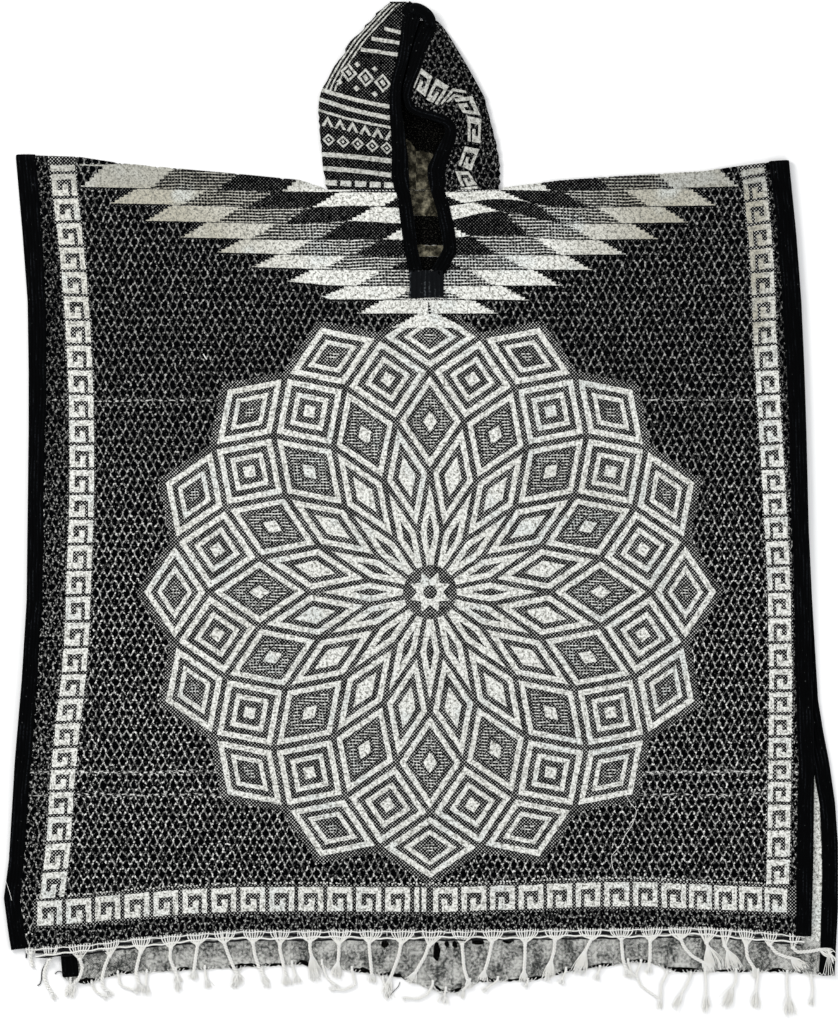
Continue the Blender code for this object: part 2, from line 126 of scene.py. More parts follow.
HOOD_LEFT = [
    HoodRow(402, -103, -22, 12, 3.0), HoodRow(415, -105.5, -22.5, 15, 3.2),
    HoodRow(424, -106.4, -23, 19, 3.4), HoodRow(439, -107.7, -24, 23, 3.6),
    HoodRow(451, -109, -26, 26, 3.8), HoodRow(459, -109.7, -27, 27, 4.0),
    HoodRow(466, -110.5, -28, 28, 4.0), HoodRow(480, -111, -30, 28, 4.0),
    HoodRow(494, -110, -31, 28, 4.0), HoodRow(505, -106.5, -30, 27, 4.0),
    HoodRow(525, -96, -25, 25, 3.8), HoodRow(550, -79, -18.5, 21, 3.4),
    HoodRow(564, -66.5, -14.5, 17, 3.0), HoodRow(572, -59, -11, 14, 2.6),
    HoodRow(580, -52, -10, 10, 2.2), HoodRow(586, -46, -15, 7, 1.8), HoodRow(590, -41, -24, 5.5, 1.3),
]
HOOD_RIGHT = [
    HoodRow(402, 70, 2, 12, 3.0), HoodRow(415, 70, -1, 13, 3.2), HoodRow(424, 69.8, -1, 13, 3.4),
    HoodRow(431, 69, 2.5, 13, 3.5), HoodRow(439, 67.5, 7, 13, 3.6), HoodRow(451, 65.2, 14, 14, 3.8),
    HoodRow(459, 63, 17, 15, 4.0), HoodRow(465, 61.2, 16.5, 16, 4.0), HoodRow(469, 60.5, 12, 17, 4.0),
    HoodRow(472, 60, 3, 19, 4.0), HoodRow(476, 58.2, -12, 21, 4.0), HoodRow(482, 57, -22, 22, 4.0),
    HoodRow(494, 54, -26, 24, 4.0), HoodRow(505, 48, -25, 24, 4.0), HoodRow(525, 38, -20, 22, 3.8),
    HoodRow(550, 22, -14.5, 17, 3.4), HoodRow(564, 13, -10, 12, 2.6), HoodRow(571, 7.5, -7, 8, 2.0),
]
BACK_SEAM = [Level(402, -14), Level(525, -14), Level(564, -11), Level(580, -22), Level(590, -31)]

# Ridges: middle, direction in degrees, half length and half width in squares, height in mm.
Ridge = namedtuple("Ridge", "x y angle length width height")
RIDGES = [
    Ridge(-250, 380, -12, 120, 22, 3.0), Ridge(-60, 375, -20, 50, 18, 3.5),
    Ridge(75, 372, 24, 70, 20, 6.0), Ridge(190, 385, 10, 110, 20, 3.5),
    Ridge(0, -60, 90, 260, 12, 1.6), Ridge(28, -330, 88, 60, 14, 5.0),
    Ridge(-330, -240, 75, 120, 26, 3.0), Ridge(-150, -300, 80, 80, 22, 3.0),
    Ridge(190, -290, 96, 90, 24, 3.0), Ridge(310, -120, 86, 150, 22, 2.5),
    Ridge(-300, 90, 82, 160, 26, 2.0), Ridge(250, 150, 70, 130, 26, 2.0),
]
# Smaller creases, only in the shells: the pressed fold down the middle, folds that run from the
# hood and slit across the yoke, and waves that end at the hem.
CREASES = [
    Ridge(1, 120, 90, 190, 2.0, 1.9), Ridge(0.5, -180, 90.5, 150, 1.9, 1.8),
    Ridge(62, 356, 14, 46, 4.5, 2.6), Ridge(92, 372, 9, 40, 4.0, 1.8),
    Ridge(44, 338, 20, 26, 4.0, 1.6), Ridge(120, 352, 4, 60, 7.0, 1.3),
    Ridge(-70, 384, -6, 50, 5.0, 1.6), Ridge(-48, 352, -14, 30, 5.0, 1.2),
    Ridge(-150, 398, -4, 70, 6.0, 1.1), Ridge(220, 402, 6, 70, 6.0, 1.1),
    Ridge(-382, -300, 84, 46, 7.0, 1.8), Ridge(-352, -322, 96, 36, 6.0, 1.3),
    Ridge(-236, -322, 88, 30, 7.0, 1.4), Ridge(-108, -326, 93, 24, 6.0, 1.2),
    Ridge(96, -326, 86, 30, 7.0, 1.4), Ridge(246, -322, 94, 34, 8.0, 1.6),
    Ridge(330, -316, 84, 40, 7.0, 1.9), Ridge(-372, 20, 88, 90, 9.0, 0.9),
    Ridge(352, 60, 91, 110, 8.0, 1.0), Ridge(-130, 60, 40, 70, 14, 0.9),
    Ridge(140, -60, 140, 80, 15, 0.9), Ridge(-60, -190, 20, 80, 14, 0.8),
    Ridge(60, 230, 160, 60, 12, 0.9), Ridge(-210, 230, 12, 90, 14, 0.9),
]


# ---------------------------------------------------------------- measures
def read(table, key, value, at):
    rows = sorted(table, key=lambda row: getattr(row, key))
    return np.interp(at, [getattr(r, key) for r in rows], [getattr(r, value) for r in rows])


def smooth(a, b, value):
    t = np.clip((np.asarray(value, float) - a) / (b - a), 0.0, 1.0)
    return t * t * (3 - 2 * t)


def ridge_height(ridges, x, y):
    """Sum of ridges in metres at chart places x, y."""
    total = np.zeros(np.shape(x))
    for ridge in ridges:
        a = radians(ridge.angle)
        dx, dy = x - ridge.x, y - ridge.y
        along, across = dx * cos(a) + dy * sin(a), dy * cos(a) - dx * sin(a)
        total = total + ridge.height * 0.001 * np.exp(
            -((along / ridge.length) ** 2) - (across / ridge.width) ** 2
        )
    return total


def front_height(x, y, fine=True):
    """Height of the middle of the front cloth at chart places."""
    x, y = np.asarray(x, float), np.asarray(y, float)
    left = (x - read(BACK_SIDES, "y", "left", y)) * CHART
    right = (read(BACK_SIDES, "y", "right", y) - x) * CHART
    inside = np.minimum(left, right)
    over = 1 - smooth(0.0, 0.050, np.maximum(inside - SIDE_TAPE - 0.020, -inside - 0.015))
    own = np.minimum(
        (x - read(FRONT_SIDES, "y", "left", y)) * CHART,
        (read(FRONT_SIDES, "y", "right", y) - x) * CHART,
    )
    bound = 1 - smooth(SIDE_TAPE + 0.005, SIDE_TAPE + 0.035, own)
    height = FRONT_LEVEL + np.maximum(
        (STACK_LEVEL - FRONT_LEVEL) * over, (EDGE_RISE + GAP) * bound
    )
    height = height - 0.0018 * smooth(0.03, 0.065, -inside)
    inner = smooth(0.0, 0.06, own) * (1 - smooth(388, 402, y))
    height = height + inner * ridge_height(RIDGES, x, y)
    if fine:
        height = height + smooth(0.002, 0.03, own) * (1 - smooth(392, 402, y)) * ridge_height(
            CREASES, x, y
        )
    neck = np.exp(-(((x + 12) / 62) ** 2) - ((y - 405) / 48) ** 2)
    slit = (1 - smooth(28, 55, np.abs(x + 3))) * smooth(280, 308, y)
    return height + 0.008 * neck + (EDGE_RISE + GAP) * slit


def back_height(x, y):
    left = (x - read(BACK_SIDES, "y", "left", y)) * CHART
    right = (read(BACK_SIDES, "y", "right", y) - x) * CHART
    return BACK_LEVEL + EDGE_RISE * (
        1 - smooth(SIDE_TAPE + 0.003, SIDE_TAPE + 0.02, np.minimum(left, right))
    )


def fold_start(x):
    """y where the shoulder's fold begins, and the fold's radius in metres."""
    y = read(SHOULDER, "x", "y", x)
    radius = (front_height(x, y) - back_height(x, y)) / 2
    y = y - (radius + HALF) / CHART
    return y, (front_height(x, y) - back_height(x, y)) / 2


# ---------------------------------------------------------------- surfaces: (u, v) to the middle of the cloth
def front_surface(u, v):
    start, radius = fold_start(u)
    turn = np.clip((v - start) * CHART / radius, 0.0, pi)
    in_neck = (u > NECK_LEFT) & (u < NECK_RIGHT)
    flat = in_neck | (v <= start)
    base = np.where(flat, v, start)
    high = front_height(u, base)
    low = back_height(u, start)
    return np.stack(
        (
            u * CHART,
            np.where(flat, v * CHART, start * CHART + radius * np.sin(turn)),
            np.where(flat, high, low + radius * (1 + np.cos(turn))),
        ),
        axis=-1,
    )


BACK_CREASES = [
    Ridge(18, -385, 90, 40, 9, 2.4), Ridge(-60, -370, 80, 26, 7, 1.2), Ridge(60, -375, 98, 30, 7, 1.4),
    Ridge(240, -366, 86, 26, 8, 1.3), Ridge(-190, -368, 92, 24, 7, 1.0),
]


def back_surface(u, v):
    lift = ridge_height(BACK_CREASES, u, v) * (v < -345)
    return np.stack((u * CHART, v * CHART, back_height(u, v) + lift), axis=-1)


HOOD_CREASES = [
    Ridge(38, 508, 118, 34, 5, 1.6), Ridge(30, 470, 70, 26, 5, 1.4), Ridge(44, 440, 98, 26, 6, 1.6),
    Ridge(-70, 470, 82, 46, 9, 1.2), Ridge(-88, 430, 96, 26, 7, 1.2), Ridge(-48, 530, 62, 34, 7, 1.2),
    Ridge(16, 430, 84, 20, 5, 1.2), Ridge(-60, 412, 8, 32, 5, 1.0), Ridge(45, 410, -6, 24, 4, 1.0),
]


def hood_surface(table, side):
    top = max(row.y for row in table)

    def surface(u, v):
        u, v = np.asarray(u, float), np.asarray(v, float)
        outer, face = read(table, "y", "outer", v), read(table, "y", "face", v)
        edge = read(table, "y", "edge_height", v) * 0.001
        nose = read(table, "y", "nose", v) * 0.001
        base = 1 - smooth(402, 446, v)
        fold_top = BACK_LEVEL + 2 * nose
        neck = np.full(np.shape(u), float(NECK))
        at_outer = front_height(outer, neck, False)
        radius = (fold_top + (at_outer - fold_top) * base - BACK_LEVEL) / 2
        centre = outer * CHART - side * radius
        x = u * CHART
        past = side * (x - centre)  # how far beyond the top of the side fold
        share = np.clip((x - centre) / (face * CHART - centre), 0.0, 1.0)
        dome = fold_top + (edge - fold_top) * np.sin(pi / 2 * share**0.9)
        high = dome + (front_height(u, neck, False) - dome) * base
        at_centre = fold_top + (front_height(centre / CHART, neck, False) - fold_top) * base
        high = high + (BACK_LEVEL + 2 * radius - at_centre) * (1 - share) ** 4
        high = high + ridge_height(HOOD_CREASES, u, v) * np.sin(pi * share**0.7) * smooth(402, 420, v)
        # The crown is sewn shut, so the upper side comes down to the lower one.
        shut = smooth(top - 9, top, v)
        high = high + (np.minimum(high, BACK_LEVEL + CLOTH + 2 * GAP) - high) * shut
        turn = pi / 2 - np.clip(past / radius, 0.0, pi)
        under = centre - side * np.maximum(past - pi * radius, 0.0)
        px = np.where(past <= 0, x, np.where(past < pi * radius, centre + side * radius * np.cos(turn), under))
        pz = np.where(past <= 0, high, np.where(past < pi * radius, BACK_LEVEL + radius * (1 + np.sin(turn)), BACK_LEVEL))
        return np.stack((px, v * CHART, pz), axis=-1)

    return surface


def hood_ends(table, side, v):
    """u of the face edge and of the seam at the far end of the cloth."""
    face, outer = read(table, "y", "face", v), read(table, "y", "outer", v)
    nose = read(table, "y", "nose", v) * 0.001
    base = 1 - smooth(402, 446, v)
    fold_top = BACK_LEVEL + 2 * nose
    at_outer = front_height(outer, np.full(np.shape(v), float(NECK)), False)
    radius = (fold_top + (at_outer - fold_top) * base - BACK_LEVEL) / 2
    centre = outer * CHART - side * radius
    seam = read(BACK_SEAM, "x", "y", v) * CHART + side * 0.00002
    return face, (centre + side * (pi * radius + np.abs(centre - seam))) / CHART


def normals(surface, u, v, step=0.25):
    du = surface(u + step, v) - surface(u - step, v)
    dv = surface(u, v + step) - surface(u, v - step)
    n = np.cross(du, dv)
    size = np.linalg.norm(n, axis=-1, keepdims=True)
    return n / np.maximum(size, 1e-12)


# ---------------------------------------------------------------- meshes
def build(name, points, faces, kinds, uvs, materials, smooth_angle=50):
    """A mesh object from arrays: faces are lists of corners, uvs are per point."""
    mesh = bpy.data.meshes.new(name)
    mesh.from_pydata((np.asarray(points, float) + np.array(SHIFT)).tolist(), [], faces)
    for material in materials:
        mesh.materials.append(material)
    mesh.polygons.foreach_set("material_index", np.asarray(kinds, np.int32))
    layer = mesh.uv_layers.new(name="UVMap")
    corner = np.zeros(len(mesh.loops), np.int32)
    mesh.loops.foreach_get("vertex_index", corner)
    layer.data.foreach_set("uv", np.asarray(uvs, np.float32)[corner].ravel())
    mesh.validate()
    mesh.shade_smooth()
    mesh.set_sharp_from_angle(angle=radians(smooth_angle))
    obj = bpy.data.objects.new(name, mesh)
    bpy.context.scene.collection.objects.link(obj)
    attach(obj, "root")
    return obj


def resample(outline, step, jitter=0.0, rng=None):
    """The outline with a point at least every step, each moved a little by jitter."""
    outline = np.asarray(outline, float)
    made = []
    for a, b in zip(outline, np.roll(outline, -1, axis=0)):
        n = max(1, int(np.ceil(np.linalg.norm(b - a) / step)))
        for k in range(n):
            made.append(a + (b - a) * k / n)
    made = np.array(made)
    if jitter:
        made = made + rng.uniform(-jitter, jitter, made.shape)
    return made


def inside(x, y, outline):
    """Which of the points lie inside the outline."""
    found = np.zeros(len(x), bool)
    for (ax, ay), (bx, by) in zip(outline, np.roll(outline, -1, axis=0)):
        if ay == by:
            continue
        crosses = (ay > y) != (by > y)
        found ^= crosses & (x < (bx - ax) * (y - ay) / (by - ay) + ax)
    return found


def triangulate(border, outlines, pitch, extra=()):
    """Points, triangles and kinds of a flat region, its triangles cut along every outline. A kind
    is that of the last outline round the triangle, or 0."""
    points, edges = [], []

    def add(ring):
        start = sum(len(p) for p in points)
        points.append(ring)
        edges.extend((start + k, start + (k + 1) % len(ring)) for k in range(len(ring)))

    add(border)
    for _, ring in outlines:
        add(ring)
    for more in extra:
        points.append(more)
    fixed = np.concatenate(points)
    low, high = border.min(axis=0), border.max(axis=0)
    size = np.ceil((high - low) / 1.5).astype(int) + 4
    taken = np.zeros(size, bool)
    cell = ((fixed - low) / 1.5).astype(int) + 1
    ok = ((cell >= 1) & (cell < size - 1)).all(axis=1)
    for dx in (-1, 0, 1):
        for dy in (-1, 0, 1):
            taken[cell[ok, 0] + dx, cell[ok, 1] + dy] = True
    xs = np.arange(low[0], high[0], pitch)
    ys = np.arange(low[1], high[1], pitch * 0.87)
    gx, gy = np.meshgrid(xs, ys)
    gx = gx + (np.arange(len(ys))[:, None] % 2) * pitch / 2
    grid = np.stack((gx.ravel(), gy.ravel()), axis=1)
    cell = ((grid - low) / 1.5).astype(int) + 1
    ok = ((cell >= 1) & (cell < size - 1)).all(axis=1)
    grid = grid[ok]
    cell = cell[ok]
    grid = grid[~taken[cell[:, 0], cell[:, 1]]]
    grid = grid[inside(grid[:, 0], grid[:, 1], border)]
    everything = np.concatenate((fixed, grid))
    found = delaunay_2d_cdt([Vector(p) for p in everything.tolist()], edges, [], 0, 1e-5, False)
    at = np.array([tuple(p) for p in found[0]])
    faces = np.array([f for f in found[2] if len(f) == 3])
    middle = at[faces].mean(axis=1)
    keep = inside(middle[:, 0], middle[:, 1], border)
    area = np.cross(at[faces[:, 1]] - at[faces[:, 0]], at[faces[:, 2]] - at[faces[:, 0]])
    keep &= np.abs(area) > 1e-7
    faces, middle, area = faces[keep], middle[keep], area[keep]
    faces[area < 0] = faces[area < 0][:, ::-1]
    kinds = np.zeros(len(faces), int)
    order = np.argsort(middle[:, 0])
    sorted_x = middle[order, 0]
    for kind, ring in outlines:
        first, last = np.searchsorted(sorted_x, (ring[:, 0].min(), ring[:, 0].max()))
        near = order[first:last]
        near = near[(middle[near, 1] > ring[:, 1].min()) & (middle[near, 1] < ring[:, 1].max())]
        if len(near):
            kinds[near[inside(middle[near, 0], middle[near, 1], ring)]] = kind
    used, index = np.unique(faces, return_inverse=True)
    return at[used], index.reshape(faces.shape), kinds


def rim_of(faces):
    """The border of a triangulated region as one loop of points."""
    ends = np.concatenate((faces[:, [0, 1]], faces[:, [1, 2]], faces[:, [2, 0]]))
    made = {tuple(e) for e in ends.tolist()}
    after = {a: b for a, b in made if (b, a) not in made}
    start = min(after)
    loop = [start]
    while after[loop[-1]] != start:
        loop.append(after[loop[-1]])
        if len(loop) > len(after):
            raise ValueError("the border isn't one loop")
    return np.array(loop)


def cloth(
    name, surface, border, outer, inner, pitch, extra=(), thickness=CLOTH, outer_side=1.0, materials=(), inner_pitch=None, grounds=(0, 0)
):
    """A thin closed shell. outer and inner are outlines on the patterned face and on the other, and
    grounds is what each holds elsewhere. outer_side is 1 if the patterned face is the one that the
    surface's normal leaves."""
    border = np.asarray(border, float)
    at, faces, kinds = triangulate(border, outer, pitch, extra)
    loop = rim_of(faces)
    ring = at[loop]
    at2, faces2, kinds2 = triangulate(ring, inner, inner_pitch or pitch * 1.6, extra)
    kinds = np.where(kinds == 0, grounds[0], kinds)
    kinds2 = np.where(kinds2 == 0, grounds[1], kinds2)
    p1, n1 = surface(at[:, 0], at[:, 1]), normals(surface, at[:, 0], at[:, 1])
    p2, n2 = surface(at2[:, 0], at2[:, 1]), normals(surface, at2[:, 0], at2[:, 1])
    top = p1 + n1 * (outer_side * thickness / 2)
    low = p2 - n2 * (outer_side * thickness / 2)
    # The rim joins each point of the loop to the same point of the other face.
    lookup = {tuple(p): k for k, p in enumerate(np.round(at2, 4).tolist())}
    count = len(at)
    other = []
    for p in np.round(ring, 4).tolist():
        found = lookup.get(tuple(p))
        if found is None:
            found = int(np.argmin(((at2 - np.array(p)) ** 2).sum(axis=1)))
        other.append(found + count)
    all_faces = []
    flip = outer_side < 0
    for a, b, c in faces.tolist():
        all_faces.append((c, b, a) if flip else (a, b, c))
    for a, b, c in (faces2 + count).tolist():
        all_faces.append((a, b, c) if flip else (c, b, a))
    rim_start = len(all_faces)
    n = len(loop)
    loop2 = [int(k) + count for k in rim_of(faces2)]
    place = {k: i for i, k in enumerate(loop2)}
    for k in range(n):
        a, b = int(loop[k]), int(loop[(k + 1) % n])
        c, d = other[(k + 1) % n], other[k]
        between = []  # points that only the other face has here
        if c in place and d in place:
            steps = (place[c] - place[d]) % len(loop2)
            if 1 < steps < 12:
                between = [loop2[(place[d] + i) % len(loop2)] for i in range(1, steps)]
        if between:
            face = (b, a, d, *between, c)
            all_faces.append(face[::-1] if flip else face)
        elif c == d:
            all_faces.append((b, a, c) if not flip else (a, b, c))
        else:
            all_faces.append((b, a, d, c) if not flip else (a, b, c, d))
    all_kinds = np.concatenate(
        (kinds, kinds2, np.full(len(all_faces) - rim_start, grounds[1]))
    )
    uv = np.concatenate((at, at2)) * CHART * 1000
    return build(name, np.concatenate((top, low)), all_faces, all_kinds, uv, materials)


# ---------------------------------------------------------------- materials
class Look:
    """A material and short ways to add nodes to it. Coordinates are the cloth's own, in mm."""

    def __init__(self, name, roughness, specular=0.08, sheen=0.0, sheen_tint=(1, 1, 1)):
        self.material = bpy.data.materials.new(name)
        self.material.use_nodes = True
        self.tree = self.material.node_tree
        self.shader = self.tree.nodes["Principled BSDF"]
        self.shader.inputs["Roughness"].default_value = roughness
        self.shader.inputs["Specular IOR Level"].default_value = specular
        self.shader.inputs["Sheen Weight"].default_value = sheen
        self.shader.inputs["Sheen Roughness"].default_value = 0.5
        self.shader.inputs["Sheen Tint"].default_value = (*sheen_tint, 1)
        uv = self.tree.nodes.new("ShaderNodeUVMap")
        uv.uv_map = "UVMap"
        self.uv = uv.outputs["UV"]
        split = self.tree.nodes.new("ShaderNodeSeparateXYZ")
        self.tree.links.new(self.uv, split.inputs[0])
        self.x, self.y = split.outputs["X"], split.outputs["Y"]

    def put(self, value, socket):
        if hasattr(value, "is_output"):
            self.tree.links.new(value, socket)
        else:
            socket.default_value = value

    def math(self, operation, a, b=0.0, c=0.0, clamp=False):
        node = self.tree.nodes.new("ShaderNodeMath")
        node.operation = operation
        node.use_clamp = clamp
        for value, socket in zip((a, b, c), node.inputs):
            self.put(value, socket)
        return node.outputs[0]

    def ramp(self, value, low, high, to_low=0.0, to_high=1.0):
        node = self.tree.nodes.new("ShaderNodeMapRange")
        node.interpolation_type = "SMOOTHSTEP"
        for socket, v in zip(node.inputs[:5], (value, low, high, to_low, to_high)):
            self.put(v, socket)
        return node.outputs[0]

    def vector(self, x, y):
        node = self.tree.nodes.new("ShaderNodeCombineXYZ")
        self.put(x, node.inputs[0])
        self.put(y, node.inputs[1])
        return node.outputs[0]

    def noise(self, size, detail=1.0, at=None, roughness=0.5):
        """Noise whose features are about size mm across."""
        node = self.tree.nodes.new("ShaderNodeTexNoise")
        node.noise_dimensions = "2D"
        self.tree.links.new(self.uv if at is None else at, node.inputs["Vector"])
        node.inputs["Scale"].default_value = 1.0 / size
        node.inputs["Detail"].default_value = detail
        node.inputs["Roughness"].default_value = roughness
        return node.outputs["Fac"]

    def mix(self, factor, a, b):
        node = self.tree.nodes.new("ShaderNodeMix")
        node.data_type = "RGBA"
        self.put(factor, node.inputs[0])
        for value, socket in ((a, node.inputs[6]), (b, node.inputs[7])):
            self.put(value if hasattr(value, "is_output") else (*value, 1.0), socket)
        return node.outputs[2]

    def color(self, value):
        self.put(value, self.shader.inputs["Base Color"])

    def rough(self, value):
        self.put(value, self.shader.inputs["Roughness"])

    def bump(self, height, distance, strength=1.0):
        node = self.tree.nodes.new("ShaderNodeBump")
        node.inputs["Strength"].default_value = strength
        node.inputs["Distance"].default_value = distance
        self.tree.links.new(height, node.inputs["Height"])
        self.tree.links.new(node.outputs[0], self.shader.inputs["Normal"])


BLACK_YARN = (0.0009, 0.0010, 0.0013)
WHITE_YARN = (0.86, 0.86, 0.82)


def white_tone(look):
    """The off-white of the cloth: warmer and dimmer far out on the yoke, cooler near the middle, greyer on the hood."""
    patch = look.noise(95.0, 2.0)
    far = look.ramp(look.math("ABSOLUTE", look.x), 120.0, 330.0)
    high = look.ramp(look.y, 250.0, 400.0)
    warm = look.math("ADD", look.math("MULTIPLY", far, high), look.math("MULTIPLY_ADD", patch, 0.7, -0.35), clamp=True)
    # The key border stays paler than the yoke.
    warm = look.math("MULTIPLY", warm, look.ramp(look.math("ABSOLUTE", look.x), 448.0, 470.0, 1.0, 0.35))
    cool = look.math("MULTIPLY", look.ramp(look.noise(60.0, 2.0), 0.52, 0.75), 0.5)
    tone = look.mix(warm, (0.87, 0.875, 0.825), (0.46, 0.44, 0.36))
    tone = look.mix(cool, tone, (0.70, 0.76, 0.755))
    # The hood is a little greyer than the body.
    return look.mix(look.ramp(look.y, 546.0, 562.0, 0.0, 0.62), tone, (0.40, 0.40, 0.365))


def twill_lines(look, pitch):
    """Waves along one diagonal of the weave, from -1 to 1."""
    return look.math("SINE", look.math("MULTIPLY", look.math("ADD", look.x, look.y), 2 * pi / pitch))


def twill_knots(look, pitch):
    """Bright knots in offset rows, from 0 to 1."""
    a = look.math("SINE", look.math("MULTIPLY", look.math("ADD", look.x, look.y), pi / pitch))
    b = look.math("SINE", look.math("MULTIPLY", look.math("SUBTRACT", look.x, look.y), pi / pitch))
    return look.math("ABSOLUTE", look.math("MULTIPLY", a, b))


def make_white():
    look = Look("off_white_weave", 0.92, 0.05, 0.04)
    speck = look.noise(4.2, 2.0, roughness=0.75)
    dark = look.ramp(speck, 0.44, 0.64)
    fine = look.ramp(look.noise(2.6, 0.0), 0.45, 0.70)
    diagonal = look.math("MULTIPLY_ADD", twill_lines(look, 4.6), 0.07, 0.06)
    dirt = look.ramp(look.noise(5.6, 1.0), 0.66, 0.78, 0.0, 0.5)
    dim = look.math("ADD", look.math("MULTIPLY", dark, 0.60), look.math("MULTIPLY_ADD", fine, 0.30, diagonal))
    dim = look.math("ADD", dim, dirt, clamp=True)
    look.color(look.mix(dim, white_tone(look), (0.150, 0.148, 0.128)))
    look.bump(look.math("ADD", look.math("MULTIPLY", twill_lines(look, 2.4), 0.35), speck), 0.0006, 0.6)
    return look.material


def make_twill(name, pitch, low, high, most):
    """Black with small pale knots. low and high are where a knot starts and is full."""
    look = Look(name, 0.95, 0.0, 0.0)
    knots = look.math("ADD", twill_knots(look, pitch), look.math("MULTIPLY_ADD", look.noise(5.0, 2.0), 0.8, -0.40))
    lit = look.ramp(knots, low, high)
    lit = look.math("MULTIPLY", lit, look.ramp(look.noise(34.0, 2.0), 0.35, 0.65, most * 0.6, most))
    look.color(look.mix(lit, BLACK_YARN, WHITE_YARN))
    look.bump(knots, 0.0006, 0.6)
    return look.material


def make_stripes():
    look = Look("fine_stripes", 0.92, 0.02, 0.02)
    wave = look.math("MULTIPLY_ADD", look.noise(46.0, 2.0), 5.0, look.y)
    line = look.math("SINE", look.math("MULTIPLY", wave, 2 * pi / 4.2))
    row = look.math("FLOOR", look.math("MULTIPLY", wave, 1 / 4.2))
    dash = look.math(
        "SINE", look.math("ADD", look.math("MULTIPLY", look.x, 2 * pi / 4.3), look.math("MULTIPLY", row, 0.4))
    )
    white = look.ramp(line, 0.26, 0.86)
    gap = look.math("MULTIPLY", look.ramp(dash, 0.30, 0.95), look.ramp(look.noise(60.0, 1.0), 0.40, 0.60, 0.25, 0.55))
    lit = look.math("MAXIMUM", white, gap)
    lit = look.math("MULTIPLY", lit, look.ramp(look.noise(3.4, 1.0), 0.34, 0.60, 0.18, 0.92))
    look.color(look.mix(lit, BLACK_YARN, white_tone(look)))
    look.bump(look.math("ADD", line, look.math("MULTIPLY", dash, 0.4)), 0.0006, 0.6)
    return look.material


def make_honeycomb(name, wide, tall, messy):
    """Black cells in a thin, broken net of steep strokes. wide is a cell's width and tall the
    spacing of the rows."""
    look = Look(name, 0.95, 0.0, 0.0)
    wobble = look.noise(12.0, 1.0)
    wobble2 = look.noise(14.0, 1.0, look.vector(look.y, look.x))
    stray = 4.0 + messy * 6
    x = look.math("MULTIPLY_ADD", wobble, stray, look.x)
    y = look.math("MULTIPLY_ADD", wobble2, stray, look.y)
    rise = 0.72 * tall
    size = sqrt(rise**2 + wide**2 / 4)
    a, b = rise / size, wide / 2 / size
    shift_up = wide / 2 - ((tall - rise) / 2 + rise) * b

    def cell(shift):
        fx = look.math("FRACT", look.math("MULTIPLY_ADD", x, 1 / wide, shift))
        fy = look.math("FRACT", look.math("MULTIPLY_ADD", y, 0.5 / tall, shift))
        qx = look.math("ABSOLUTE", look.math("MULTIPLY_ADD", fx, wide, -wide / 2))
        qy = look.math("ABSOLUTE", look.math("MULTIPLY_ADD", fy, 2 * tall, -tall))
        slant = look.math("ADD", look.math("MULTIPLY_ADD", qx, a, shift_up), look.math("MULTIPLY", qy, b))
        return look.math("MAXIMUM", qx, slant)

    reach = look.math("MINIMUM", cell(0.0), cell(0.5))
    line = look.ramp(reach, wide / 2 - 1.15, wide / 2 - 0.30)
    beside = look.ramp(reach, wide / 2 - 1.9, wide / 2 - 0.8)
    grain = look.noise(3.8, 2.0, roughness=0.6)
    broken = look.ramp(grain, 0.36, 0.56, 0.12, 1.0)
    bright = look.ramp(look.noise(7.0, 1.0), 0.38, 0.66, 0.09, 0.52)
    net = look.math("MULTIPLY", look.math("MULTIPLY", line, broken), look.math("MULTIPLY", bright, 1.0 - messy * 1.5))
    dots = look.ramp(look.noise(3.4, 1.0), 0.60, 0.70)
    spot = look.math("MULTIPLY", look.math("MULTIPLY", dots, beside), 0.95 - messy)
    loose = look.math("MULTIPLY", look.ramp(look.noise(3.1, 1.0, look.vector(look.x, look.math("MULTIPLY", look.y, 0.7))), 0.66, 0.76), 0.10 + messy * 0.7)
    lit = look.math("MAXIMUM", look.math("MAXIMUM", net, spot), loose, clamp=True)
    # The lower half has been brushed paler.
    lit = look.math("MULTIPLY", lit, look.ramp(look.y, 330.0, -60.0, 0.50, 1.0))
    # Faults of the weave: pale flecks in line along a few wefts.
    fault = None
    for height, spread in ((-246.0, 3.0), (-277.0, 2.2), (262.0, 1.6)):
        away = look.math("ABSOLUTE", look.math("ADD", look.math("MULTIPLY_ADD", look.noise(70.0, 1.0), 6.0, look.y), -height - 3.0))
        here = look.ramp(away, spread, 0.4)
        fault = here if fault is None else look.math("MAXIMUM", fault, here)
    fleck = look.math("MULTIPLY", fault, look.ramp(look.noise(6.0, 2.0, look.vector(look.x, look.math("MULTIPLY", look.y, 3.0))), 0.48, 0.68, 0.0, 0.75))
    lit = look.math("MAXIMUM", lit, fleck)
    look.color(look.mix(lit, BLACK_YARN, WHITE_YARN))
    look.bump(look.math("ADD", line, look.math("MULTIPLY", grain, 0.5)), 0.0008, 0.6)
    return look.material


def make_reverse():
    look = Look("grey_reverse", 0.95, 0.05, 0.08)
    grain = look.noise(4.0, 3.0, roughness=0.75)
    cloud = look.noise(26.0, 3.0)
    streak = look.noise(7.0, 2.0, look.vector(look.x, look.math("MULTIPLY", look.y, 0.3)))
    base = look.math("ADD", look.math("MULTIPLY", cloud, 0.75), look.math("MULTIPLY", streak, 0.25))
    tone = look.math("ADD", look.ramp(base, 0.20, 0.80), look.math("MULTIPLY_ADD", grain, 2.4, -1.22), clamp=True)
    knots = look.ramp(twill_knots(look, 3.4), 0.5, 1.0, 0.0, 0.25)
    tone = look.math("SUBTRACT", tone, knots, clamp=True)
    look.color(look.mix(tone, (0.030, 0.032, 0.030), (0.53, 0.53, 0.50)))
    look.bump(grain, 0.0010, 0.8)
    return look.material


